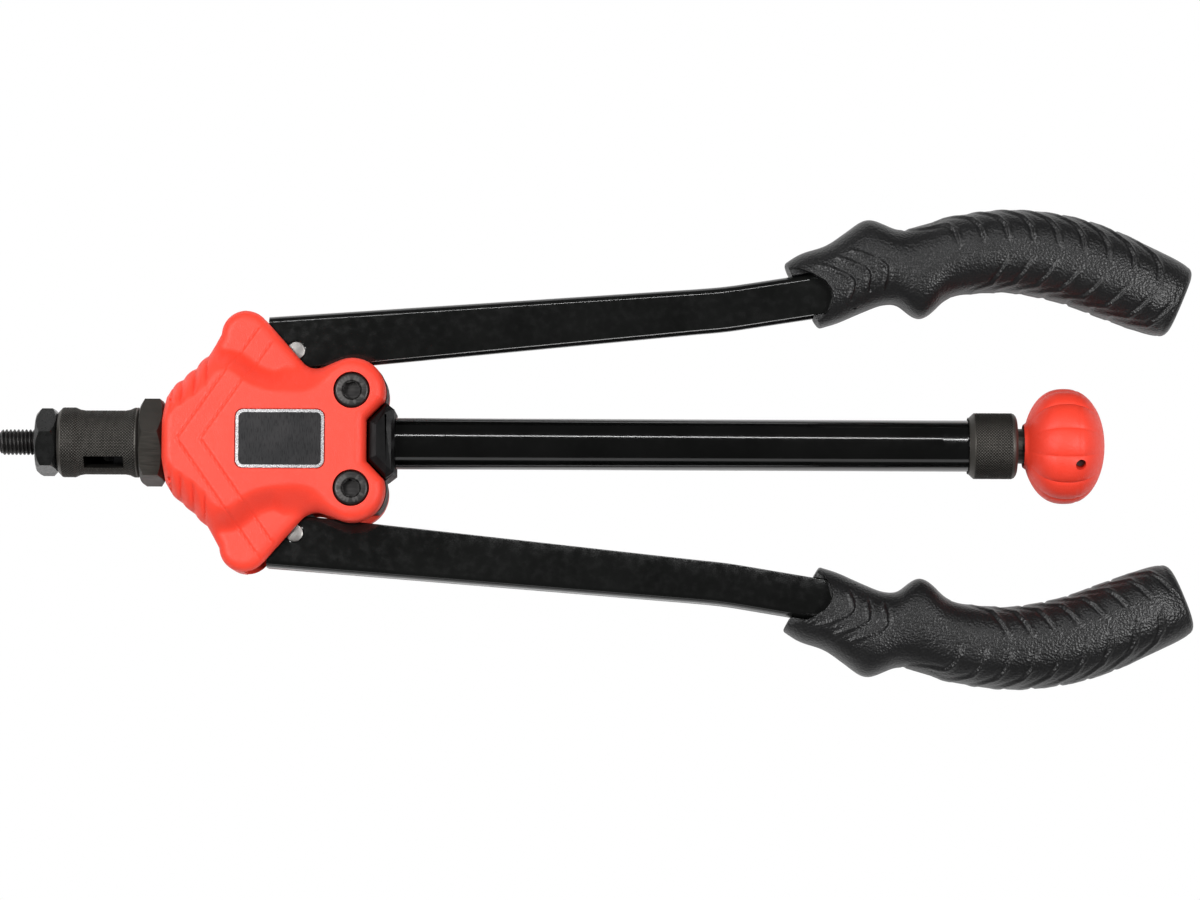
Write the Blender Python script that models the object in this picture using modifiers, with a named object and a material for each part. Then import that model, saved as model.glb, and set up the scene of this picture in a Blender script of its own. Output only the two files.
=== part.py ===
"""Long-arm rivet nut tool, lying flat. Metres, +X from the nose to the knob, +Y across the arms, +Z up."""

import math

import bmesh
import bpy
from mathutils import Matrix, Vector

# Driving sizes of the whole
ARM_HEIGHT = 0.0165
COVER_RISE = 0.01375
GAP = 0.0003
EDGE_CHAMFER = 0.0006

# Driving sizes of the axis and the nose
MANDREL_TIP = -0.2276
MANDREL_DIAMETER = 0.0098
MANDREL_TIP_CHAMFER = 0.0012
ANVIL_FRONT = -0.2132
ANVIL_FLATS = 0.0228
ANVIL_CHAMFER = 0.0022
ANVIL_TURN = math.radians(16.4)
ANVIL_SHANK_LENGTH = 0.009
ANVIL_SHANK_DIAMETER = 0.0150
NOSE_LENGTH = 0.0309
NOSE_DIAMETER = 0.0266
NOSE_WAIST_DIAMETER = 0.0244
NOSE_END_BAND = 0.0062
NOSE_REAR_BAND = 0.0022
NOSE_TAPER = 0.0036
NOSE_CHAMFER = 0.0016
WINDOW_START = 0.0102
WINDOW_LENGTH = 0.0150
WINDOW_WIDTH = 0.0056
WINDOW_TURN = math.radians(-44.0)
LOCK_NUT_LENGTH = 0.0092
LOCK_NUT_FLATS = 0.0300
LOCK_NUT_CHAMFER = 0.0018
LOCK_NUT_TURN = math.radians(20.0)
SNOUT_DIAMETER = 0.0194
SNOUT_BORE = 0.0148
SNOUT_REACH = 0.0102
ADAPTOR_DIAMETER = 0.0140
ADAPTOR_LENGTH = 0.0150
ADAPTOR_LEAD = 0.0041
ADAPTOR_SOCKET_DEPTH = 0.0090
ADAPTOR_REAR_SOCKET = 0.0043

# Driving sizes of the head
HEAD_FRONT = -0.1645
LOBE_RISE = 0.00475
COVER_WALL = 0.0030
COVER_EDGE_ROUND = 0.0040
CENTER_WALL = 0.0030
COVER_PARTING = 0.0003
FLANK_POINTS = (
    (-0.1632, 0.0161), (-0.1613, 0.0195), (-0.1572, 0.02305), (-0.1523, 0.0273), (-0.1475, 0.0322),
)
FLANK_BULGE = 0.0006
HUMP_POINTS = (
    (-0.1622, 0.0070), (-0.1590, 0.0102), (-0.1520, 0.0148), (-0.1462, 0.0198), (-0.1425, 0.0252),
    (-0.1388, 0.0252), (-0.1337, 0.0206), (-0.1262, 0.0174), (-0.1140, 0.0160), (-0.1075, 0.0170),
    (-0.1029, 0.0200), (-0.0985, 0.0250), (-0.0930, 0.0320), (-0.0840, 0.0300), (-0.0740, 0.0200),
)
HUMP_SLOPE_WIDTH = 0.0110
HUMP_STEEP_WIDTH = 0.0075
HUMP_STEEP_START = -0.1410
HUMP_STEEP_END = -0.1230
HUMP_BLEND = 0.0050
HUMP_STEPS = 5
CHEVRON_TIPS = (-0.1561, -0.1472)
CHEVRON_ANGLE = math.radians(55.2)
CHEVRON_STEP = 0.00045
LOBE_X = -0.1336
LOBE_Y = 0.0402
LOBE_RADIUS = 0.0094
ARMPIT_X = -0.1063
ARMPIT_Y = 0.0350
ARMPIT_RADIUS = 0.0077
SCREW_X = -0.0929
SCREW_Y = 0.0184
SCREW_LOBE_RADIUS = 0.0125
NOTCH_X = -0.0876
NOTCH_HALF_WIDTH = 0.0079
NOTCH_MOUTH_HALF_WIDTH = 0.0148
ARM_WINDOW_START = -0.1335
BLOCK_REAR = -0.0772
BLOCK_CHAMFER = 0.0035
BLOCK_REACH = 0.0268
BLOCK_SINK = 0.0045
BLOCK_TAPER = 0.0030
BOSS_SHOULDER = 0.0073
BOSS_ROOT = 0.0010
PLATE_THICKNESS = 0.0028
PLATE_REACH = 0.0274
PLATE_MARGIN = 0.0045
BULKHEAD_LENGTH = 0.0100
TUBE_BACKING = 0.0095
POCKET_BACKING = 0.0055
BLOCK_LAP = 0.0010
BADGE_X = -0.1205
BADGE_LENGTH = 0.0334
BADGE_WIDTH = 0.0222
BADGE_THICKNESS = 0.0008
BADGE_CORNER = 0.0030
BADGE_RECESS = 0.0012
SCREW_HEAD_DIAMETER = 0.0130
SCREW_HEAD_HEIGHT = 0.0060
SCREW_THREAD_DIAMETER = 0.0080
SCREW_HEX_FLATS = 0.0060
SCREW_HEX_DEPTH = 0.0040
SCREW_HEAD_SINK = 0.0065
SCREW_NUT_FLATS = 0.0130
SCREW_NUT_HEIGHT = 0.0050
COUNTERBORE_CLEARANCE = 0.0004

# Driving sizes of the arms and the linkage
ARM_WALL = 0.0025
ARM_FRONT_WIDTH = 0.0208
ARM_REAR_WIDTH = 0.0160
ARM_CORNER_ROUND = 0.0030
ARM_SLOPE = math.radians(4.86)
ARM_FRONT_X = -0.1252
ARM_TAPER_END_X = 0.0380
ARM_REFERENCE = (-0.0809, 0.0409)
ARM_END_X = 0.0970
ARM_BEND_X = 0.0420
ARM_BEND_LENGTH = 0.0120
ARM_REAR_SLOPE = math.radians(8.9)
LEVER_TAIL_X = -0.0840
LEVER_SLOT_END = -0.1035
LEVER_EYE_RADIUS = 0.0052
LEVER_NECK = 0.0050
LEVER_HEAD = 0.0050
LEVER_INSET = 0.0010
LEVER_ROOT_Y = 0.0308
LEVER_ROOT_LENGTH = 0.0150
LEVER_BOSS_DIAMETER = 0.0074
LOWER_ARM_PLAY = math.radians(0.46)
LINK_PIN_X = -0.1148
LINK_PIN_Y = 0.0346
LINK_PIN_DIAMETER = 0.0068
LINK_PIN_PROUD = 0.0002
FULCRUM_X = -0.1172
FULCRUM_Y = 0.0234
FULCRUM_DIAMETER = 0.0050
LINK_THICKNESS = 0.0056
LINK_WIDTH = 0.0050
LINK_EYE_RADIUS = 0.0058
LINK_SLEEVE_EYE_RADIUS = 0.0046
SLEEVE_PIN_X = -0.1388
SLEEVE_PIN_Y = 0.0120
SLEEVE_PIN_DIAMETER = 0.0045
OPEN_PIVOT_CLEARANCE = 0.00040
SLEEVE_DIAMETER = 0.0160
SLEEVE_LUG_HALF_HEIGHT = 0.0066
SLEEVE_PIN_PROUD = 0.0014
PIN_CHAMFER = 0.0004
SLEEVE_LENGTH = 0.0150
LINK_ROOM = 0.0011
THRUST_THICKNESS = 0.0030
THRUST_DIAMETER = 0.0150

# Driving sizes of the tube, the spindle, the stroke collar and the knob
TUBE_DIAMETER = 0.0195
TUBE_BORE = 0.0150
TUBE_FRONT = -0.0960
TUBE_END = 0.1462
TUBE_FLAT_START = 0.1300
TUBE_FLAT_LENGTH = 0.0095
TUBE_FLAT_DEPTH = 0.0007
TUBE_FLAT_TURN = math.radians(-12.0)
SPINDLE_FRONT_DIAMETER = 0.0100
SPINDLE_DIAMETER = 0.0132
SPINDLE_REACH = 0.0250
BUSH_LENGTH = 0.0080
COLLAR_OVERLAP = 0.0062
COLLAR_LENGTH = 0.0183
COLLAR_DIAMETER = 0.0251
COLLAR_LIP = 0.0018
COLLAR_FLOOR = 0.0025
KNOB_FRONT = 0.1610
KNOB_LENGTH = 0.0308
KNOB_DIAMETER = 0.0438
KNOB_RECESS_DIAMETER = 0.0156
KNOB_RECESS_DEPTH = 0.0030
KNOB_FULLNESS = 2.35
KNOB_FLUTES = 12
KNOB_FLUTE_STEPS = 3
KNOB_PROFILE_STEPS = 12
KNOB_FLUTE_DEPTH = 0.0009
KNOB_SCREW_PLACE = 0.0199
KNOB_SCREW_DIAMETER = 0.0030
KNOB_SCREW_HOLE = 0.0040
KNOB_SCREW_TURN = math.radians(-24.0)
KNOB_SCREW_SEAT = 0.0025
KNOB_SCREW_SINK = 0.0040

# Driving sizes of the grips, whose stations are the outer and the inner edge point and the half height of a section
GRIP_STATIONS = (
    (0.0711, 0.0697, 0.0847, 0.0450, 0.0125),
    (0.0764, 0.0731, 0.0901, 0.0466, 0.0135),
    (0.0855, 0.0758, 0.0954, 0.0489, 0.0140),
    (0.0935, 0.0812, 0.1015, 0.0515, 0.0142),
    (0.1022, 0.0865, 0.1083, 0.0539, 0.0142),
    (0.1083, 0.0843, 0.1132, 0.0539, 0.0142),
    (0.1144, 0.0820, 0.1174, 0.0505, 0.0143),
    (0.1205, 0.0837, 0.1216, 0.0482, 0.0145),
    (0.1258, 0.0851, 0.1262, 0.0505, 0.0148),
    (0.1311, 0.0870, 0.1311, 0.0555, 0.0151),
    (0.1372, 0.0882, 0.1364, 0.0576, 0.0155),
    (0.1467, 0.0896, 0.1455, 0.0586, 0.0160),
    (0.1562, 0.0902, 0.1543, 0.0590, 0.0163),
    (0.1695, 0.0893, 0.1653, 0.0575, 0.0165),
    (0.1828, 0.0869, 0.1767, 0.0547, 0.0165),
    (0.1961, 0.0824, 0.1881, 0.0504, 0.0163),
    (0.2075, 0.0771, 0.1980, 0.0468, 0.0158),
    (0.2177, 0.0722, 0.2071, 0.0436, 0.0148),
    (0.2238, 0.0692, 0.2124, 0.0420, 0.0135),
)
GRIP_SECTION_SIDES = 18
GRIP_SECTION_POWER = 0.80
GRIP_END_ROUND = 0.0018
GRIP_SOCKET_START = 0.0650

TURN_STEPS = 26
PIN_SIDES = 16
HIDDEN_SIDES = 12
ARC_STEPS = 6

COVER_HEIGHT = ARM_HEIGHT + 2 * COVER_RISE
AXIS_HEIGHT = COVER_HEIGHT / 2
CUT_REACH = 3 * COVER_HEIGHT
LOBE_TOP = AXIS_HEIGHT + ARM_HEIGHT / 2 + LOBE_RISE
BLOCK_TOP = COVER_HEIGHT - BLOCK_SINK
WINDOW_HALF = TUBE_DIAMETER / 2 + GAP
SPINDLE_END = KNOB_FRONT + SPINDLE_REACH
KNOB_SCREW_X = KNOB_FRONT + KNOB_SCREW_PLACE
COLLAR_FRONT = TUBE_END - COLLAR_OVERLAP
SNOUT_FRONT = HEAD_FRONT - LOCK_NUT_LENGTH - SNOUT_REACH
LOCK_NUT_FRONT = HEAD_FRONT - LOCK_NUT_LENGTH
NOSE_FRONT = LOCK_NUT_FRONT - GAP - NOSE_LENGTH
ADAPTOR_FRONT = SNOUT_FRONT - ADAPTOR_LEAD
LINK_LENGTH = math.hypot(LINK_PIN_X - SLEEVE_PIN_X, LINK_PIN_Y - SLEEVE_PIN_Y)
LINK_SLOT_HALF = LINK_THICKNESS / 2 + GAP
PLATE_START = ARM_HEIGHT / 2 + GAP + LINK_PIN_PROUD
PLATE_END = PLATE_START + PLATE_THICKNESS
BLOCK_HALF = WINDOW_HALF - GAP
CAVITY_FRONT = HEAD_FRONT + COVER_WALL + GAP + BULKHEAD_LENGTH
CAVITY_REAR = TUBE_FRONT - TUBE_BACKING
POCKET_REAR = TUBE_FRONT - POCKET_BACKING
BLOCK_FRONT = CAVITY_REAR + BLOCK_LAP


def clear_scene():
    for item in list(bpy.data.objects):
        bpy.data.objects.remove(item, do_unlink=True)


def make_collection(name):
    group = bpy.data.collections.new(name)
    bpy.context.scene.collection.children.link(group)
    return group


clear_scene()
PARTS = make_collection("rivet_nut_tool")
CUTTERS = make_collection("cutters")


def material(name, color, roughness, metallic):
    finish = bpy.data.materials.get(name) or bpy.data.materials.new(name)
    finish.use_nodes = True
    shader = finish.node_tree.nodes["Principled BSDF"]
    shader.inputs["Base Color"].default_value = (*color, 1.0)
    shader.inputs["Roughness"].default_value = roughness
    shader.inputs["Metallic"].default_value = metallic
    return finish


def red_plastic():
    return material("red_plastic", (0.80, 0.07, 0.035), 0.45, 0.0)


def black_paint():
    return material("black_paint", (0.012, 0.012, 0.013), 0.18, 0.0)


def dark_oxide():
    return material("dark_oxide", (0.055, 0.052, 0.048), 0.45, 0.8)


def bright_zinc():
    return material("bright_zinc", (0.60, 0.60, 0.58), 0.30, 1.0)


def plain_steel():
    return material("plain_steel", (0.35, 0.35, 0.36), 0.35, 1.0)


def black_rubber():
    return material("black_rubber", (0.018, 0.018, 0.019), 0.55, 0.0)


def badge_finish():
    return material("badge_finish", (0.45, 0.45, 0.46), 0.30, 0.9)


def bronze():
    return material("bronze", (0.45, 0.28, 0.10), 0.40, 1.0)


def object_from(name, shape, group=None):
    """Turns a bmesh into an object whose faces point out."""
    bmesh.ops.recalc_face_normals(shape, faces=shape.faces)
    mesh = bpy.data.meshes.new(name)
    shape.to_mesh(mesh)
    shape.free()
    item = bpy.data.objects.new(name, mesh)
    (group or CUTTERS).objects.link(item)
    if group is None:
        item.hide_render = True
        item.display_type = "WIRE"
    return item


def finish(item, surface, smooth=30.0):
    """Moves a shape to the parts, and gives it its material and its shading."""
    if item.name in CUTTERS.objects:
        CUTTERS.objects.unlink(item)
        PARTS.objects.link(item)
    item.hide_render = False
    item.display_type = "TEXTURED"
    item.data.materials.clear()
    item.data.materials.append(surface)
    item.data.shade_smooth()
    item.data.set_sharp_from_angle(angle=math.radians(smooth))
    return item


def bake(item):
    """Replaces an object's mesh by what its modifiers make of it."""
    bpy.context.view_layer.update()
    graph = bpy.context.evaluated_depsgraph_get()
    mesh = bpy.data.meshes.new_from_object(item.evaluated_get(graph))
    item.modifiers.clear()
    item.data = mesh
    return item


def combine(item, other, operation):
    step = item.modifiers.new(operation.lower(), "BOOLEAN")
    step.operation = operation
    step.object = other
    step.solver = "EXACT"
    bake(item)
    bpy.data.objects.remove(other, do_unlink=True)
    return item


def cut(item, *cutters):
    for cutter in cutters:
        combine(item, cutter, "DIFFERENCE")
    return item


def join(item, *others):
    for other in others:
        combine(item, other, "UNION")
    return item


def arc(center_x, center_y, radius, start, end, steps=ARC_STEPS):
    """Points along a round stretch, with its angles in degrees."""
    angles = [math.radians(start + (end - start) * step / steps) for step in range(steps + 1)]
    return [(center_x + radius * math.cos(a), center_y + radius * math.sin(a)) for a in angles]


def mirrored(half):
    """Closes a half outline, which runs front to rear at positive y, over the x axis."""
    return half + [(x, -y) for x, y in reversed(half)]


def inset(points, distance):
    """Moves a closed outline inwards by mitred offsets."""
    area = sum(a[0] * b[1] - b[0] * a[1] for a, b in zip(points, points[1:] + points[:1]))
    turn = 1.0 if area > 0 else -1.0
    moved = []
    for before, here, after in zip(points[-1:] + points[:-1], points, points[1:] + points[:1]):
        first = (Vector(here) - Vector(before)).normalized()
        second = (Vector(after) - Vector(here)).normalized()
        normal = Vector((-(first + second).y, (first + second).x)).normalized() * turn
        stretch = max(0.4, normal.dot(Vector((-first.y, first.x)) * turn))
        moved.append(tuple(Vector(here) + normal * (distance / stretch)))
    return moved


def prism(name, points, bottom, top, group=None):
    """A flat outline raised between two heights."""
    shape = bmesh.new()
    face = shape.faces.new([shape.verts.new((x, y, bottom)) for x, y in points])
    raised = bmesh.ops.extrude_face_region(shape, geom=[face])
    verts = [part for part in raised["geom"] if isinstance(part, bmesh.types.BMVert)]
    bmesh.ops.translate(shape, verts=verts, vec=(0.0, 0.0, top - bottom))
    return object_from(name, shape, group)


def box(name, low, high, group=None):
    shape = bmesh.new()
    bmesh.ops.create_cube(shape, size=1.0)
    size = [b - a for a, b in zip(low, high)]
    middle = [(a + b) / 2 for a, b in zip(low, high)]
    bmesh.ops.scale(shape, verts=shape.verts, vec=size)
    bmesh.ops.translate(shape, verts=shape.verts, vec=middle)
    return object_from(name, shape, group)


def upright(name, x, y, diameter, bottom, top, sides=PIN_SIDES, turn=0.0):
    """A cylinder, or a prism of few sides, along Z."""
    shape = bmesh.new()
    place = Matrix.Translation((x, y, (bottom + top) / 2)) @ Matrix.Rotation(turn, 4, "Z")
    bmesh.ops.create_cone(shape, cap_ends=True, segments=sides, radius1=diameter / 2,
                          radius2=diameter / 2, depth=top - bottom, matrix=place)
    return object_from(name, shape)


def along_axis(name, diameter, start, end, sides=TURN_STEPS, turn=0.0):
    """A cylinder, or a prism of few sides, on the tool's axis."""
    shape = bmesh.new()
    place = (Matrix.Translation(((start + end) / 2, 0.0, AXIS_HEIGHT))
             @ Matrix.Rotation(turn, 4, "X") @ Matrix.Rotation(math.pi / 2, 4, "Y"))
    bmesh.ops.create_cone(shape, cap_ends=True, segments=sides, radius1=diameter / 2,
                          radius2=diameter / 2, depth=end - start, matrix=place)
    return object_from(name, shape)


def turned(name, profile, closed=True, steps=TURN_STEPS):
    """A turned piece on the tool's axis, from (x, radius) points that run down its outer side to the nose."""
    shape = bmesh.new()
    points = [shape.verts.new((radius, 0.0, x)) for x, radius in profile]
    pairs = list(zip(points, points[1:]))
    if closed:
        pairs.append((points[-1], points[0]))
    for first, second in pairs:
        shape.edges.new((first, second))
    item = object_from(name, shape)
    item.rotation_euler = (0.0, math.pi / 2, 0.0)
    item.location = (0.0, 0.0, AXIS_HEIGHT)
    screw = item.modifiers.new("turn", "SCREW")
    screw.axis = "Z"
    screw.steps = steps
    screw.render_steps = steps
    screw.use_merge_vertices = True
    screw.merge_threshold = 0.00001
    bake(item)
    item.data.transform(item.matrix_world)
    item.matrix_world = Matrix.Identity(4)
    shape = bmesh.new()
    shape.from_mesh(item.data)
    bmesh.ops.recalc_face_normals(shape, faces=shape.faces)
    shape.to_mesh(item.data)
    shape.free()
    return item


def hexagon(name, flats, start, end, turn, chamfer, bore):
    """A hexagonal piece on the axis, its corners turned down at both ends, with a bore."""
    corner = flats / math.cos(math.pi / 6)
    item = along_axis(name, corner, start, end, sides=6, turn=turn)
    edge = corner / 2 + GAP
    waist = flats / 2 - GAP
    limit = turned(name + "_limit", [(end, 0.0), (end, waist), (end - chamfer, edge),
                                     (start + chamfer, edge), (start, waist), (start, 0.0)], closed=False)
    combine(item, limit, "INTERSECT")
    return cut(item, along_axis(name + "_bore", bore, start - GAP, end + GAP))


def build_mandrel():
    rear = ADAPTOR_FRONT + ADAPTOR_SOCKET_DEPTH - GAP
    radius = MANDREL_DIAMETER / 2
    profile = [(rear, 0.0), (rear, radius), (MANDREL_TIP + MANDREL_TIP_CHAMFER, radius),
               (MANDREL_TIP, radius - MANDREL_TIP_CHAMFER), (MANDREL_TIP, 0.0)]
    return finish(turned("mandrel", profile, closed=False, steps=PIN_SIDES), dark_oxide())


def build_anvil():
    head_end = NOSE_FRONT - GAP
    item = hexagon("anvil", ANVIL_FLATS, ANVIL_FRONT, head_end, ANVIL_TURN, ANVIL_CHAMFER,
                   MANDREL_DIAMETER + 2 * GAP)
    outer = ANVIL_SHANK_DIAMETER / 2
    bore = MANDREL_DIAMETER / 2 + GAP
    rear = head_end + ANVIL_SHANK_LENGTH
    root = head_end - ANVIL_CHAMFER
    shank = turned("anvil_shank", [(rear, bore), (rear, outer), (root, outer), (root, bore)])
    return finish(join(item, shank), black_paint())


def build_nose_sleeve():
    rear = LOCK_NUT_FRONT - GAP
    front = NOSE_FRONT
    end = NOSE_DIAMETER / 2
    waist = NOSE_WAIST_DIAMETER / 2
    bore = SNOUT_DIAMETER / 2 + GAP
    shank = ANVIL_SHANK_DIAMETER / 2 + GAP
    neck = front + ANVIL_SHANK_LENGTH + GAP
    profile = [(rear, bore), (rear, end), (rear - NOSE_REAR_BAND, end),
               (rear - NOSE_REAR_BAND - NOSE_TAPER / 2, waist + (end - waist) * 0.3),
               (rear - NOSE_REAR_BAND - NOSE_TAPER, waist),
               (front + NOSE_END_BAND + NOSE_TAPER, waist),
               (front + NOSE_END_BAND + NOSE_TAPER / 2, waist + (end - waist) * 0.3),
               (front + NOSE_END_BAND, end), (front + NOSE_CHAMFER, end), (front, end - NOSE_CHAMFER),
               (front, shank), (neck, shank), (neck, bore)]
    item = turned("nose_sleeve", profile)
    low = front + WINDOW_START
    half = WINDOW_WIDTH / 2
    window = box("window", (low, -half, 0.0), (low + WINDOW_LENGTH, half, NOSE_DIAMETER))
    place = (Matrix.Translation((0.0, 0.0, AXIS_HEIGHT)) @ Matrix.Rotation(-WINDOW_TURN, 4, "X"))
    window.data.transform(place)
    return finish(cut(item, window), dark_oxide())


def build_lock_nut():
    item = hexagon("lock_nut", LOCK_NUT_FLATS, LOCK_NUT_FRONT, HEAD_FRONT - GAP, LOCK_NUT_TURN,
                   LOCK_NUT_CHAMFER, SNOUT_DIAMETER + 2 * GAP)
    return finish(item, dark_oxide())


def bulge_point(here, after):
    """The crown of one of the flank's scallops."""
    way = (Vector(after) - Vector(here)).normalized()
    crown = (Vector(here) + Vector(after)) / 2 + Vector((-way.y, way.x)) * FLANK_BULGE
    return (crown.x, crown.y)


def front_half_outline():
    """The cover's half outline from the nose to the armpit."""
    points = [(HEAD_FRONT, FLANK_POINTS[0][1] * 0.45), FLANK_POINTS[0]]
    for here, after in zip(FLANK_POINTS[1:], FLANK_POINTS[2:]):
        points += [here, bulge_point(here, after)]
    points += [FLANK_POINTS[-1]]
    points += arc(LOBE_X, LOBE_Y, LOBE_RADIUS, 178, 40)
    points += arc(ARMPIT_X, ARMPIT_Y, ARMPIT_RADIUS, 220, 289, 5)
    return points


def cover_outline():
    points = front_half_outline()
    points += arc(SCREW_X, SCREW_Y, SCREW_LOBE_RADIUS, 109, -16, 10)
    points += [(NOTCH_X, NOTCH_HALF_WIDTH)]
    return mirrored(points)


def pocket_outline(distance, rear):
    """The inside of the covers, ahead of the screw lobes."""
    half = [point for point in front_half_outline() if point[0] < rear]
    tail = half[-1][1] + (rear - half[-1][0]) * 0.36
    inner = inset(mirrored(half + [(rear + distance, tail)]), distance)
    return inner


def plate_outline(distance):
    """The frame's plates: the front of the cover, moved in, but no wider than the fulcrums need."""
    return [(x, math.copysign(min(abs(y), PLATE_REACH), y))
            for x, y in pocket_outline(PLATE_MARGIN + distance, POCKET_REAR - GAP)]


def corner_cut(points):
    """Rounds a closed polygon by cutting each of its corners."""
    cut_line = []
    for here, after in zip(points, points[1:] + points[:1]):
        for share in (0.25, 0.75):
            cut_line.append((here[0] + (after[0] - here[0]) * share, here[1] + (after[1] - here[1]) * share))
    return cut_line


def slope_width(x):
    """Width of the raised middle's slope: steep beside the side lobes, wide elsewhere."""
    start = min(1.0, max(0.0, (x - HUMP_STEEP_START) / HUMP_BLEND + 1.0))
    end = min(1.0, max(0.0, (HUMP_STEEP_END - x) / HUMP_BLEND + 1.0))
    return HUMP_SLOPE_WIDTH - (HUMP_SLOPE_WIDTH - HUMP_STEEP_WIDTH) * start * end


def build_hump():
    """Raised middle of the cover: its flat top runs down to the side lobes in a soft slope."""
    line = corner_cut(mirrored(list(HUMP_POINTS)))
    area = sum(a[0] * b[1] - b[0] * a[1] for a, b in zip(line, line[1:] + line[:1]))
    turn = -1.0 if area > 0 else 1.0
    normals = []
    for before, after in zip(line[-1:] + line[:-1], line[1:] + line[:1]):
        way = (Vector(after) - Vector(before)).normalized()
        normals.append(Vector((-way.y, way.x)) * turn)
    levels = []
    for step in range(HUMP_STEPS + 1):
        share = step / HUMP_STEPS
        fall = share * share * (3 - 2 * share)
        levels.append((share, COVER_HEIGHT + (LOBE_TOP - GAP - COVER_HEIGHT) * fall))
    levels.append((1.0, AXIS_HEIGHT))
    shape = bmesh.new()
    rows = []
    for share, level in levels:
        rows.append([])
        for (x, y), normal in zip(line, normals):
            reach = slope_width(x) * share
            rows[-1].append(shape.verts.new((x + normal.x * reach, y + normal.y * reach, level)))
    count = len(line)
    for row, after in zip(rows, rows[1:]):
        for step in range(count):
            beside = (step + 1) % count
            shape.faces.new((row[step], row[beside], after[beside], after[step]))
    shape.faces.new(rows[0])
    shape.faces.new(rows[-1])
    return object_from("hump", shape)


def chevron_room(tip, level):
    """Everything ahead of a chevron's line and above a level."""
    reach = COVER_HEIGHT
    side = math.tan(CHEVRON_ANGLE) * reach
    front = tip - 2 * reach
    points = [(tip, 0.0), (tip + reach, side), (front, side), (front, -side), (tip + reach, -side)]
    return prism("chevron_room", points, level, COVER_HEIGHT + GAP * 3)


def center_hollow_outline():
    """The hollow over the frame, under the cover's raised middle and ahead of its screws."""
    half = [(x, y) for x, y in HUMP_POINTS if x < POCKET_REAR]
    half.append((POCKET_REAR + CENTER_WALL, half[-1][1]))
    return inset(mirrored(half), CENTER_WALL)


def rounded_prism(name, points, bottom, top, edge, steps=3):
    """A prism whose top edge is rounded."""
    item = prism(name, points, bottom, top)
    shape = bmesh.new()
    shape.from_mesh(item.data)
    rim = [e for e in shape.edges if all(v.co.z > top - 1e-6 for v in e.verts)]
    bmesh.ops.bevel(shape, geom=rim, offset=edge, segments=steps, profile=0.5, affect="EDGES")
    shape.to_mesh(item.data)
    shape.free()
    return item


def flip_over(item):
    """Turns a top piece into its bottom twin by mirroring it about the middle plane."""
    place = (Matrix.Translation((0.0, 0.0, AXIS_HEIGHT)) @ Matrix.Scale(-1.0, 4, (0.0, 0.0, 1.0))
             @ Matrix.Translation((0.0, 0.0, -AXIS_HEIGHT)))
    item.data.transform(place)
    item.data.flip_normals()
    return item


def build_cover(name, badge):
    split = AXIS_HEIGHT + COVER_PARTING / 2
    item = rounded_prism(name, cover_outline(), split, COVER_HEIGHT, COVER_EDGE_ROUND)
    combine(item, build_hump(), "INTERSECT")
    join(item, rounded_prism("lobes", cover_outline(), split, LOBE_TOP, COVER_EDGE_ROUND, 2))
    for step, tip in enumerate(CHEVRON_TIPS):
        cut(item, chevron_room(tip, COVER_HEIGHT - CHEVRON_STEP * (len(CHEVRON_TIPS) - step)))
    window_top = AXIS_HEIGHT + WINDOW_HALF
    pocket = prism("pocket", pocket_outline(COVER_WALL, POCKET_REAR), 0.0, window_top)
    plates = prism("plate_room", plate_outline(-GAP), 0.0, AXIS_HEIGHT + PLATE_END + GAP)
    hollow = prism("center_hollow", center_hollow_outline(), 0.0, COVER_HEIGHT - BADGE_RECESS - CENTER_WALL)
    arms = box("arm_window", (ARM_WINDOW_START, -CUT_REACH, 0.0),
               (BLOCK_REAR + CUT_REACH, CUT_REACH, window_top))
    snout = along_axis("snout_hole", SNOUT_DIAMETER + 4 * GAP, HEAD_FRONT - CUT_REACH, CAVITY_FRONT)
    cut(item, pocket, plates, hollow, arms, snout)
    for side in (1, -1):
        head = SCREW_HEAD_DIAMETER + 2 * COUNTERBORE_CLEARANCE
        floor = COVER_HEIGHT - SCREW_HEAD_SINK if badge else COVER_HEIGHT - SCREW_NUT_HEIGHT
        flats = SCREW_NUT_FLATS / math.cos(math.pi / 6) + 2 * COUNTERBORE_CLEARANCE
        seat = upright("seat", SCREW_X, side * SCREW_Y, head if badge else flats, floor, CUT_REACH,
                       sides=PIN_SIDES if badge else 6)
        shank = upright("shank", SCREW_X, side * SCREW_Y, SCREW_THREAD_DIAMETER + 2 * GAP, 0.0, CUT_REACH)
        cut(item, seat, shank)
    if badge:
        cut(item, rounded_plate("badge_seat", BADGE_LENGTH + 2 * GAP, BADGE_WIDTH + 2 * GAP,
                                COVER_HEIGHT - BADGE_RECESS, CUT_REACH))
    else:
        flip_over(item)
    return finish(item, red_plastic())


def rounded_plate(name, length, width, bottom, top):
    points = []
    for x, y, start in ((1, 1, 0), (-1, 1, 90), (-1, -1, 180), (1, -1, 270)):
        points += arc(BADGE_X + x * (length / 2 - BADGE_CORNER), y * (width / 2 - BADGE_CORNER),
                      BADGE_CORNER, start, start + 90, 4)
    return prism(name, points, bottom, top)


def build_badge():
    bottom = COVER_HEIGHT - BADGE_RECESS + GAP
    item = rounded_plate("badge_plate", BADGE_LENGTH, BADGE_WIDTH, bottom, bottom + BADGE_THICKNESS)
    return finish(item, badge_finish())


def block_outline():
    half = [(BLOCK_FRONT, BLOCK_REACH)]
    half += [(x, min(y, BLOCK_REACH)) for x, y in arc(SCREW_X, SCREW_Y, SCREW_LOBE_RADIUS + GAP, 42, -16, 6)]
    half += [(BLOCK_REAR, NOTCH_MOUTH_HALF_WIDTH - BLOCK_TAPER)]
    return mirrored(half)


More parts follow.
